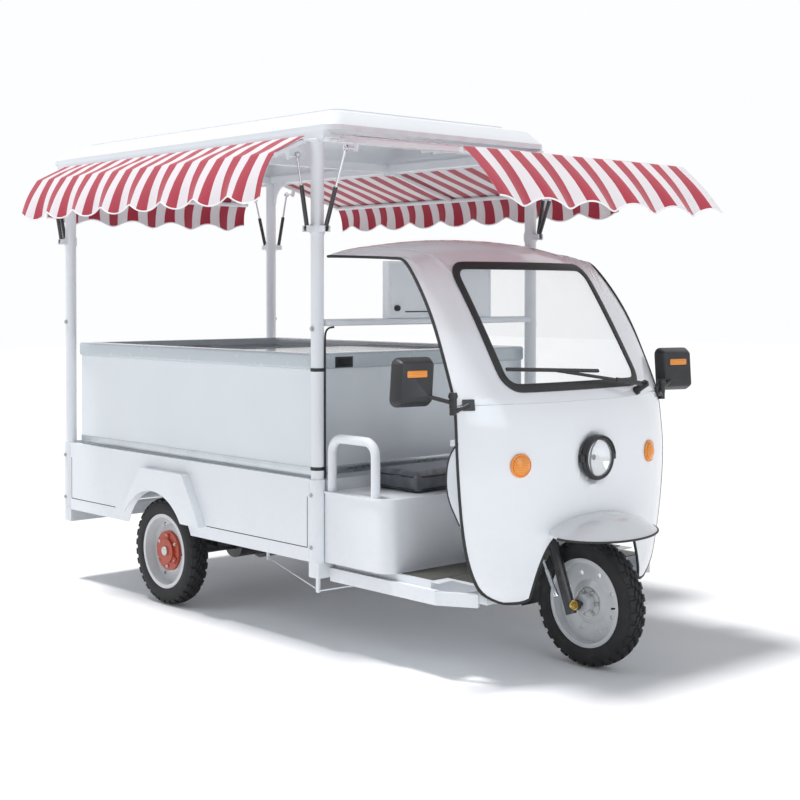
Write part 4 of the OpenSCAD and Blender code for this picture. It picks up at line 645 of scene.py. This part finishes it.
tyreSpec = {"sides": 96, "tread": 0.0068, "groove": 0.0019,
            "half": [(0.1672, 0.0385), (0.1688, 0.0435), (0.174, 0.0462), (0.183, 0.0472), (0.1845, 0.0474),
                     (0.196, 0.0474), (0.1975, 0.0472), (0.21, 0.0455), (0.2205, 0.0408), (0.2275, 0.0328),
                     (0.2313, 0.02), (0.2326, 0.0068)],
            "lugRows": ((0.0205, 0.0412, 0), (-0.0412, -0.0205, 1), (0.0069, 0.0204, 2), (-0.0204, -0.0069, 0),
                        (-0.0066, 0.0066, 1)), "lugFrom": 0.218}
half = tyreSpec["half"]
tyre = turned("tyreModel", half + [(r, -z) for r, z in reversed(half)], sides=tyreSpec["sides"], ends=False)
edit(tyre)
cell = math.tau / tyreSpec["sides"]
for low, high, rest in tyreSpec["lugRows"]:
    def lug(f):
        c = f.calc_center_median()
        column = int((math.atan2(c.y, c.x) % math.tau) / cell)
        return low < c.z < high and c.xy.length > tyreSpec["lugFrom"] and column % 3 != rest
    pick(tyre, lug)
    bpy.ops.mesh.inset(thickness=tyreSpec["groove"], use_boundary=True)
    bpy.ops.transform.shrink_fatten(value=tyreSpec["tread"])
done()
outward(tyre)
hubHeight = 0.240
wheelSpots = {"front": (0.990, 0, "front_wheel"), "right": (-0.990, -0.565, "right_wheel"),
              "left": (-0.990, 0.565, "left_wheel")}
for label, (x, y, body) in wheelSpots.items():
    piece = copied(tyre, label + "Tyre", (x, y, hubHeight), (math.radians(90), 0, 0))
    dress(piece, finishes["tyre"], body, [label + "_tyre"], 28)
bpy.data.objects.remove(tyre)
outer = {"front": -1, "right": -1, "left": 1}
nutSpec = {"stem": [(0.0045, 0), (0.0045, 0.016), (0.0034, 0.018), (0.0034, 0.028), (0.0042, 0.029), (0.0042, 0.034)],
           "nut": [(0.0095, 0), (0.0095, 0.007), (0.008, 0.0082), (0.005, 0.0082), (0.005, 0.0125), (0.004, 0.0135)],
           "stud": [(0.008, 0), (0.008, 0.005), (0.0062, 0.0065), (0.0036, 0.0065), (0.0036, 0.0095)],
           "cap": [(0.021, 0), (0.021, 0.007), (0.018, 0.0095), (0.006, 0.0108)],
           "count": 6, "nutCircle": 0.045, "studCircle": 0.071, "rings": (0.029, 0.054)}
for label, (x, y, body) in wheelSpots.items():
    side = outer[label]
    stem = turned("stem", nutSpec["stem"], (x + 0.148, y + side * 0.008, hubHeight), (-0.45, side * 0.89, 0), 16)
    dress(stem, finishes["black_rubber"], body).name = label + "ValveStem"
    if label == "front":
        nuts = []
        r = nutSpec["nutCircle"]
        for k in range(nutSpec["count"]):
            a = math.tau * k / nutSpec["count"]
            nuts.append(turned("nut", nutSpec["nut"],
                               (x + r * math.cos(a), y - 0.0125, hubHeight + r * math.sin(a)), (0, -1, 0), 6))
        rings = [ringOf("hubRing", [(r, 0), (r + 0.004, 0), (r + 0.0035, 0.003), (r + 0.0005, 0.003)],
                        (x, y - 0.0122, hubHeight), (0, -1, 0), 64) for r in nutSpec["rings"]]
        dress(joined("frontHubNuts", nuts + rings), finishes["zinc"], body)
    else:
        studs = []
        r = nutSpec["studCircle"]
        for k in range(nutSpec["count"]):
            a = math.tau * (k + 0.5) / nutSpec["count"]
            spot = (x + r * math.cos(a), y + side * 0.0203, hubHeight + r * math.sin(a))
            studs.append(turned("stud", nutSpec["stud"], spot, (0, side, 0), 6))
        cap = turned("greaseCap", nutSpec["cap"], (x, y + side * 0.0322, hubHeight), (0, side, 0), 40)
        dress(joined(label + "HubStuds", studs + [cap]), finishes["zinc"], body)
print("wheels done")


# awnings: a striped sheet from the hinge over the bar, fluted towards its hem

barRadius, hemWave = 0.011, 0.240
awnings = {
    "front": {"hinge": 0.210, "span": (-0.628, 0.628), "arm": 0.726, "slope": 7.5, "hem": (0.910, -0.280),
              "spots": (-0.568, 0, 0.568)},
    "right": {"hinge": 0.646, "span": (-0.937, 0.937), "arm": 0.159, "slope": 24, "hem": (0.238, -0.236),
              "spots": (-0.917, 0, 0.917)},
    "left": {"hinge": 0.646, "span": (-1.067, 0.945), "arm": 0.426, "slope": 16, "hem": (0.452, -0.232),
             "spots": (-0.917, 0, 0.917)},
    "rear": {"hinge": 1.904, "span": (-0.608, 0.608), "arm": 0.150, "slope": 45, "hem": (0.142, -0.232),
             "spots": (-0.568, 0, 0.568)},
}
awningSpec = {"root": (0.010, 0.016), "hingeZ": 1.995, "sideMid": -0.843, "lift": 0.0016, "thick": 0.0014,
              "sag": 0.010, "rise": 0.016, "ripple": 0.014, "step": 0.0105,
              "topRows": 22, "fallRows": 18, "piping": 0.0032, "stripeStart": 0.0288}
hingeZ, sideMid = awningSpec["hingeZ"], awningSpec["sideMid"]
toFrame = {"front": lambda u, y, z: (u, y, z), "right": lambda u, y, z: (sideMid + y, -u, z),
           "left": lambda u, y, z: (sideMid - y, u, z), "rear": lambda u, y, z: (-u, -y, z)}


def bendOf(a):
    slope = math.radians(a["slope"])
    bar = Vector((a["arm"] * math.cos(slope), -a["arm"] * math.sin(slope)))
    root = Vector(awningSpec["root"])
    gap = bar - root
    lean = math.atan2(gap.y, gap.x) + math.asin((barRadius + 0.0003) / gap.length)
    x = bar.x + barRadius + 0.0008
    return Vector((x, root.y + (x - root.x) * math.tan(lean)))


def sectionOf(a, t):
    root, bend, hem = Vector(awningSpec["root"]), bendOf(a), Vector(a["hem"])
    if t < 1:
        return root.lerp(bend, t)
    return bend.lerp(hem, t - 1) + Vector((0.010, 0.004)) * math.sin(math.pi * (t - 1))


def clothSpot(a, y, t, lift):
    p, q = sectionOf(a, t), sectionOf(a, t + 0.01)
    n = Vector((p.y - q.y, q.x - p.x)).normalized() * lift
    fall = max(0.0, t - 1) ** 1.6
    phase = math.tau * (y - a["span"][0]) / hemWave
    out = a["hinge"] + p.x + n.x + awningSpec["ripple"] * fall * math.sin(phase)
    up = hingeZ + p.y + n.y + awningSpec["rise"] * fall * math.cos(phase)
    spots = a["spots"]
    between = min(abs(y - s) for s in spots) / (spots[1] - spots[0]) * 2  # slack between two arms
    if t < 1:
        slack = math.sin(math.pi * t) * min(1, between) ** 2
        up += 0.0035 * math.sin(9 * y + 4 * t) * math.sin(math.pi * t) * min(1, 4 * between)
        up += awningSpec["sag"] * 0.15 * slack
    return out, up


for label, a in awnings.items():
    low, high = a["span"]
    across = round((high - low) / awningSpec["step"])
    down = awningSpec["topRows"] + awningSpec["fallRows"]
    clearPick()
    bpy.ops.mesh.primitive_grid_add(x_subdivisions=across, y_subdivisions=down, size=1, calc_uvs=True)
    cloth = named(label + "AwningCloth")
    rowsAt = [k / awningSpec["topRows"] for k in range(awningSpec["topRows"] + 1)]
    rowsAt += [1 + (k + 1) / awningSpec["fallRows"] for k in range(awningSpec["fallRows"])]
    fallAt = [0.0]
    for t0, t1 in zip(rowsAt, rowsAt[1:]):
        fallAt.append(fallAt[-1] + (sectionOf(a, t1) - sectionOf(a, t0)).length)
    for spot in cloth.data.vertices:
        y = low + (high - low) * (spot.co.x + 0.5)
        t = rowsAt[round((spot.co.y + 0.5) * down)]
        out, up = clothSpot(a, y, t, awningSpec["lift"])
        spot.co = toFrame[label](out, y, up)
    for mark in cloth.data.uv_layers["UVMap"].data:  # cloth metres: along the hinge, down the fall
        mark.uv = (mark.uv.x * (high - low) + awningSpec["stripeStart"], fallAt[round(mark.uv.y * down)])
    hemPath = []
    for k in range(across * 2 + 1):
        y = low + (high - low) * k / (across * 2)
        out, up = clothSpot(a, y, 2.0, awningSpec["lift"])
        hemPath.append(toFrame[label](out, y, up))
    edit(cloth)
    bpy.ops.mesh.select_all(action="SELECT")
    bpy.ops.mesh.normals_make_consistent(inside=False)
    done()
    area = sum(f.area for f in cloth.data.polygons)
    useModifier(cloth, "SOLIDIFY", thickness=awningSpec["thick"], offset=0)
    dress(cloth, finishes["awning_cloth"], label + "_awning", [label + "_awning_cloth"], 50)
    piping = tube(label + "AwningPiping", hemPath[::2], awningSpec["piping"], steps=2)
    dress(piping, pipingWhite, label + "_awning")
    round(area / (high - low), 3)
print("awnings done")


# seat: a crowned pad swelled by cloth under pressure, with piped seams

padSpec = {"low": (0.186, -0.404, 0.6275), "high": (0.462, 0.404, 0.697), "voxel": 0.007, "pressure": 4.0,
           "cap": 0.011, "frames": 20, "crown": 0.007, "seams": (0.640, 0.688), "seamSteps": 72, "pipe": 0.0035}
padLow, padHigh = Vector(padSpec["low"]), Vector(padSpec["high"])
padMid, padSize = (padLow + padHigh) / 2, padHigh - padLow
cushion = block("seatCushion", padSize, padMid, edge=0.024, steps=4)
useModifier(cushion, "REMESH", mode="VOXEL", voxel_size=padSpec["voxel"])
for spot in cushion.data.vertices:
    u, v = (spot.co.x - padMid.x) / padSize.x * 2, (spot.co.y - padMid.y) / padSize.y * 2
    if spot.co.z > padMid.z:
        spot.co.z += padSpec["crown"] * (1 - u * u) * (1 - v ** 4)
    spot.co.x -= 0.006 * u * (1 - v * v)  # the sides pull in between the corners
rest = [spot.co.copy() for spot in cushion.data.vertices]
choose(cushion)
swell = cushion.modifiers.new("Swell", "CLOTH")
swell.settings.use_pressure = True
swell.settings.uniform_pressure_force = padSpec["pressure"]
swell.settings.effector_weights.gravity = 0
swell.settings.quality = 4
for step in range(1, padSpec["frames"] + 1):
    bpy.context.scene.frame_set(step)
bpy.ops.object.modifier_apply(modifier=swell.name)
bpy.context.scene.frame_set(1)
for spot, start in zip(cushion.data.vertices, rest):
    move = spot.co - start
    if move.length > padSpec["cap"]:
        spot.co = start + move.normalized() * padSpec["cap"]
for spot in cushion.data.vertices:
    spot.co.z = max(spot.co.z, padLow.z)
useModifier(cushion, "SMOOTH", factor=0.5, iterations=3)
useModifier(cushion, "SUBSURF", levels=1, render_levels=1)
belt = [v.co for v in cushion.data.vertices if abs(v.co.z - padMid.z) < 0.012]
reach = [max(abs(p[k] - padMid[k]) for p in belt) for k in (0, 1)]
dress(cushion, finishes["vinyl"], "vehicle", ["seat_cushion"], 60)
seams = []
for level in padSpec["seams"]:
    path = []
    for k in range(padSpec["seamSteps"]):
        a = math.tau * k / padSpec["seamSteps"]
        c, s = math.cos(a), math.sin(a)
        near = min((v.co for v in cushion.data.vertices if abs(v.co.z - level) < 0.004),
                   key=lambda p: abs(math.atan2((p.y - padMid.y) / reach[1],
                                                (p.x - padMid.x) / reach[0]) - math.atan2(s, c)))
        path.append((near.x, near.y, level))
    seams.append(tube("seatPiping", path[::2], padSpec["pipe"], closed=True))
dress(joined("seatPipings", seams), finishes["black_rubber"], "vehicle")
print("seat done")


# freezer: framed sliding lids, bands, vent

lidSpec = {"border": 0.034, "tall": 0.0084, "rear": ((-1.655, -0.784), 0.520, 1.122, "lid_rear"),
           "front": ((-0.864, 0.007), 0.5325, 1.140, "lid_front")}
for label in ("rear", "front"):
    (x0, x1), halfWide, z0, body = lidSpec[label]
    wide, tall = lidSpec["border"], lidSpec["tall"]
    z = z0 + tall / 2
    bars = [block("bar", (x1 - x0, wide, tall), ((x0 + x1) / 2, s * (halfWide - wide / 2), z), edge=0.0025)
            for s in (-1, 1)]
    bars += [block("bar", (wide, 2 * halfWide - 2 * wide, tall), (x, 0, z), edge=0.0025)
             for x in (x0 + wide / 2, x1 - wide / 2)]
    pull = x0 + 0.013 if label == "rear" else x1 - 0.013
    bars.append(block("pull", (0.014, 0.20, 0.0062), (pull, 0, z0 + 0.0105), edge=0.003, steps=3))
    dress(joined(label + "LidFrame", bars), frameGrey, body)
rim = smoothCopy("freezer_rim", "freezerRim", 0)
edit(rim, "EDGE")
bpy.ops.mesh.select_all(action="SELECT")
bpy.ops.mesh.dissolve_limited(angle_limit=math.radians(1))
rimLow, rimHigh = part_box("freezer_rim")


def outerEdge(e):
    a, b = (v.co for v in e.verts)
    level = abs(a.z - b.z) < 1e-5 and min(abs(a.z - rimHigh.z), abs(a.z - rimLow.z)) < 1e-4
    side = all(min(p.y - rimLow.y, rimHigh.y - p.y, p.x - rimLow.x, rimHigh.x - p.x) < 0.027 for p in (a, b))
    return level and side and len(e.link_faces) == 2 and e.calc_face_angle(0) > 1


pick(rim, outerEdge, "EDGE")
bpy.ops.mesh.bevel(offset=0.013, segments=5, affect="EDGES", clamp_overlap=True)
done()
dress(rim, finishes["freezer_rim"], "vehicle", ["freezer_rim"], 40)
bandSpec = {"run": (-1.722, 0.074), "z": 0.694, "tall": 0.034}
bands = [block("band", (bandSpec["run"][1] - bandSpec["run"][0], 0.003, bandSpec["tall"]),
               (sum(bandSpec["run"]) / 2, s * 0.6017, bandSpec["z"]), edge=0.001) for s in (-1, 1)]
bands.append(block("band", (0.003, 1.19, bandSpec["tall"]), (0.0757, 0, bandSpec["z"]), edge=0.001))
dress(joined("freezerBands", bands), brushedBand, "vehicle")
ventSpec = {"at": (0.0885, -0.451, 1.1236), "size": (0.004, 0.092, 0.044), "slats": 6}
x, y, z = ventSpec["at"]
vent = [block("vent", ventSpec["size"], ventSpec["at"], edge=0.0018)]
for k in range(ventSpec["slats"]):
    vent.append(block("slat", (0.006, 0.08, 0.0022), (x + 0.003, y, z - 0.016 + 0.0064 * k), (0, math.radians(28), 0),
                      0.0006))
dress(joined("freezerVent", vent), finishes["black_plastic"], "vehicle")
print("freezer done")


# control box on the rail: door leaf, seam, knob

boxSpec = {"face": 0.1462, "mid": (0.033, 1.4143), "door": (0.566, 0.204), "knob": (-0.224, 1.3383)}
door = [block("door", (0.003, *boxSpec["door"]), (boxSpec["face"] + 0.0012, *boxSpec["mid"]), edge=0.0012)]
for s in (-1, 1):
    door.append(block("leaf", (0.005, 0.012, 0.03), (boxSpec["face"] + 0.002, 0.319, boxSpec["mid"][1] + s * 0.07),
                      edge=0.002))
dress(joined("controlDoor", door), finishes["white_paint"], "vehicle")
knob = turned("controlKnob", [(0.0118, 0.001), (0.0124, 0.004), (0.0124, 0.012), (0.0108, 0.018), (0.006, 0.0195)],
              (boxSpec["face"], *boxSpec["knob"]), front, 32)
slotBar = block("slot", (0.003, 0.15, 0.005), (boxSpec["face"] + 0.0028, -0.1, 1.3235), edge=0.001)
dress(joined("controlKnobs", [knob, slotBar]), finishes["black_plastic"], "vehicle")


# cockpit: dial, switch pods, levers, grips, mat

dialSpec = {"at": (0.7844, 0, 0.9322), "axis": (-0.866, 0, 0.5), "radius": 0.0385, "ticks": 21, "tickCircle": 0.032,
            "ring": [(0.0395, 0.002), (0.0395, 0.0075), (0.0425, 0.0085), (0.0462, 0.0066), (0.0466, 0.002)]}
dialAxis = Vector(dialSpec["axis"])
dialEdge = dialSpec["radius"]
disc = turned("dialDisc", [(0.002, 0.0006), (0.020, 0.0006), (dialEdge, 0.0006), (dialEdge, -0.0004)],
              dialSpec["at"], dialAxis, 56)
dress(disc, dialFace, "vehicle")
marks = []
sideways, upward = Vector((0, -1, 0)), Vector((0.5, 0, 0.866))
for k in range(dialSpec["ticks"]):
    a = math.radians(225 - 13.5 * k)
    tickWay = sideways * math.cos(a) + upward * math.sin(a)
    centre = Vector(dialSpec["at"]) + dialAxis * 0.0012 + tickWay * dialSpec["tickCircle"]
    mark = block("tick", (0.0068 if k % 5 == 0 else 0.004, 0.0012, 0.0008), (0, 0, 0), edge=0.0002, steps=1)
    basis = Matrix((tickWay, upward * math.cos(a) - sideways * math.sin(a), dialAxis)).transposed()
    mark.rotation_euler, mark.location = basis.to_euler(), centre
    marks.append(settle(mark))
handRoot = Vector(dialSpec["at"]) + dialAxis * 0.002
hand = tube("hand", [handRoot, handRoot + (sideways * -0.7 - upward * 0.55) * 0.026], 0.0009, smooth=False)
dress(joined("dialMarks", marks + [hand]), pipingWhite, "vehicle")
trimRing = ringOf("dialRing", dialSpec["ring"], dialSpec["at"], dialAxis, 64)
dress(trimRing, bowlChrome, "vehicle")

barSpec = {"at": (0.6848, 0, 0.9824), "pod": (0.046, 0.05, 0.052), "button": (0.009, 0.012, 0.01), "tilt": -20,
           "podAt": {-1: 0.168, 1: 0.196}, "lever": ((0, 0), (0.03, 0.016), (0.07, 0.019), (0.104, 0.014)),
           "leverRadius": 0.006, "rib": [(0.0163, -0.0022), (0.0178, -0.0012), (0.0178, 0.0012), (0.0163, 0.0022)],
           "ribs": 12, "ribPitch": 0.0085}
barAt, tilt = Vector(barSpec["at"]), (0, math.radians(barSpec["tilt"]), 0)
forward, rise = Vector((0.9397, 0, 0.342)), Vector((-0.342, 0, 0.9397))
pods, levers = [], []
for s in (-1, 1):
    inner = barSpec["podAt"][s]
    pods.append(block("pod", barSpec["pod"], barAt + Vector((0, s * inner, 0)), tilt, 0.009, 3))
    for k in range(2):
        spot = barAt + Vector((0, s * (inner - 0.01 + 0.022 * k), 0)) - forward * 0.025 + rise * 0.008
        pods.append(block("button", barSpec["button"], spot, tilt, 0.002))
    root = barAt + Vector((0, s * (inner + 0.012), 0)) + forward * 0.03
    line = [root + Vector((0, s * y, 0)) + forward * ahead for y, ahead in barSpec["lever"]]
    levers.append(tube("lever", line, barSpec["leverRadius"]))
dress(joined("switchPods", pods), finishes["black_plastic"], "steering")
dress(joined("brakeLevers", levers), finishes["strut_rod"], "steering")
for s, body, label in ((-1, "throttle", "right"), (1, "steering", "left")):
    ribs = [ringOf("rib", barSpec["rib"], barAt + Vector((0, s * (0.222 + barSpec["ribPitch"] * k), 0)), (0, 1, 0), 40)
            for k in range(barSpec["ribs"])]
    dress(joined(label + "GripRibs", ribs), finishes["black_rubber"], body)

matSpec = {"z": 0.3495, "tall": 0.0026, "leaves": ((0.526, 0.696, 0.046, 0.535), (0.70, 0.872, 0.20, 0.462))}
mats = []
for x0, x1, y0, y1 in matSpec["leaves"]:
    for s in (-1, 1):
        mats.append(block("mat", (x1 - x0, y1 - y0, matSpec["tall"]),
                          ((x0 + x1) / 2, s * (y0 + y1) / 2, matSpec["z"]), edge=0.001))
dress(joined("floorMats", mats), floorMat, "vehicle")
print("cockpit done")


# fork: dampers, axle nuts, flap behind the wheel

forkSpec = {"top": (0.842, 0.418), "foot": (0.922, 0.262), "y": 0.113}
dampers = []
for s in (-1, 1):
    (tx, tz), (fx, fz) = forkSpec["top"], forkSpec["foot"]
    top, foot = Vector((tx, s * forkSpec["y"], tz)), Vector((fx, s * forkSpec["y"], fz))
    run = (top - foot).length
    damper = [(0.007, 0), (0.0105, 0.002), (0.0105, 0.03), (0.0085, 0.034), (0.0085, run * 0.62),
              (0.0062, run * 0.64), (0.0062, run - 0.02), (0.009, run - 0.018), (0.009, run)]
    dampers.append(turned("damper", damper, foot, top - foot, 28))
dress(joined("forkDampers", dampers), finishes["strut_rod"], "fork_lower")
axleSpec = {"washer": [(0.0082, 0.0), (0.0185, 0.0), (0.0185, 0.0025), (0.0082, 0.0025)], "washerY": 0.0902,
            "nut": [(0.0142, 0.0), (0.0142, 0.010), (0.0128, 0.0125), (0.0082, 0.0125), (0.0082, 0.0175),
                    (0.0068, 0.0195)], "nutY": 0.0928}
hubX, nuts = wheelSpots["front"][0], []
for s in (-1, 1):
    nuts.append(turned("washer", axleSpec["washer"], (hubX, s * axleSpec["washerY"], hubHeight), (0, s, 0), 32))
    nuts.append(turned("nut", axleSpec["nut"], (hubX, s * axleSpec["nutY"], hubHeight), (0, s, 0), 6))
dress(joined("axleNuts", nuts), yellowZinc, "fork_lower")

flapSpec = {"at": (0.7035, 0.0, 0.268), "size": (0.004, 0.15, 0.156), "lean": -4}
frontFlap = block("frontFlap", flapSpec["size"], flapSpec["at"], (0, math.radians(flapSpec["lean"]), 0), 0.0014)
dress(frontFlap, finishes["black_rubber"], "vehicle")


# leaf springs: each half is cut from a copy of the CAD spring, with cross cuts between its hanger and the axle

springSpec = {"mid": -0.990, "half": 0.4035, "grip": 0.06, "cuts": 12}
leafHalves = [smoothCopy("leaf_springs", label + "LeafHalves", 0) for label in ("front", "rear")]
for leafHalf, s in zip(leafHalves, (1, -1)):
    edit(leafHalf)
    for k in range(springSpec["cuts"]):
        bpy.ops.mesh.select_all(action="SELECT")
        cut = springSpec["mid"] + s * springSpec["half"] * k / springSpec["cuts"]
        bpy.ops.mesh.bisect(plane_co=(cut, 0, 0), plane_no=(s, 0, 0), clear_inner=k == 0, use_fill=k == 0)
    done()
    choose(leafHalf)
    leafHalf.data.materials.clear()
    leafHalf.data.materials.append(finishes["black_steel"])
    bpy.ops.object.shade_smooth_by_angle(angle=math.radians(30))
    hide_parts("leaf_springs")
    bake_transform(leafHalf)
print("leaf springs done")


# tail lamps, and bands on the right front post

tailSpec = {"x": -1.855, "y": 0.52, "z": 0.60, "case": (0.018, 0.13, 0.064), "stop": (0.014, 0.066, 0.052),
            "turn": (0.014, 0.046, 0.052)}
cases, reds, ambers = [], [], []
for s in (-1, 1):
    x, y, z = tailSpec["x"], s * tailSpec["y"], tailSpec["z"]
    cases.append(block("case", tailSpec["case"], (x - 0.0092, y, z), edge=0.006, steps=3))
    reds.append(block("stopLens", tailSpec["stop"], (x - 0.021, y - s * 0.026, z), edge=0.005, steps=3))
    ambers.append(block("turnLens", tailSpec["turn"], (x - 0.021, y + s * 0.034, z), edge=0.005, steps=3))
dress(joined("tailLampCases", cases), finishes["black_plastic"], "vehicle")
dress(joined("tailLampRed", reds), redLens, "vehicle")
dress(joined("tailLampAmber", ambers), finishes["amber"], "vehicle")

postSpec = {"at": (0.118, -0.612), "levels": (1.100, 0.713),
            "ring": [(0.0261, -0.007), (0.0276, -0.006), (0.0276, 0.006), (0.0261, 0.007)]}
bandRings = [ringOf("postBand", postSpec["ring"], (*postSpec["at"], z), (0, 0, 1), 48) for z in postSpec["levels"]]
dress(joined("postBands", bandRings), finishes["black_rubber"], "vehicle")
print("fork, tail and posts done")


# cab guards: rubber edge; bed sides: black strips as painted shade in the gaps round the drop panels

guardSpec = {"line": [(0.852, 0.870), (0.816, 0.842), (0.790, 0.800), (0.779, 0.750), (0.779, 0.700), (0.790, 0.655),
                      (0.822, 0.600), (0.846, 0.566)],
             "y": 0.5445, "radius": 0.0046}
edges = [tube("guardEdge", [(x, s * guardSpec["y"], z) for x, z in guardSpec["line"]], guardSpec["radius"])
         for s in (-1, 1)]
dress(joined("guardEdges", edges), finishes["black_rubber"], "vehicle")
gapSpec = {"y": 0.6322, "thick": 0.0008, "wide": 0.0035, "z": 0.400, "spans": ((-1.766, -1.36), (-0.615, 0.079)),
           "ends": (-1.766, 0.079), "top": 0.6}
# flat black strips on the bed sides: painted shade where the drop panels meet
gapShadeStrips = []
for s in (-1, 1):
    y, z = s * gapSpec["y"], gapSpec["z"]
    for x0, x1 in gapSpec["spans"]:
        gapShadeStrips.append(block("panelGap", (x1 - x0, gapSpec["thick"], gapSpec["wide"]), ((x0 + x1) / 2, y, z),
                            edge=0.0002, steps=1))
    for x in gapSpec["ends"]:
        gapShadeStrips.append(block("panelGap", (gapSpec["wide"], gapSpec["thick"], gapSpec["top"] - z),
                            (x, y, (gapSpec["top"] + z) / 2), edge=0.0002, steps=1))
dress(joined("panelGaps", gapShadeStrips), finishes["black_rubber"], "vehicle")
print("guards and bed panels done")
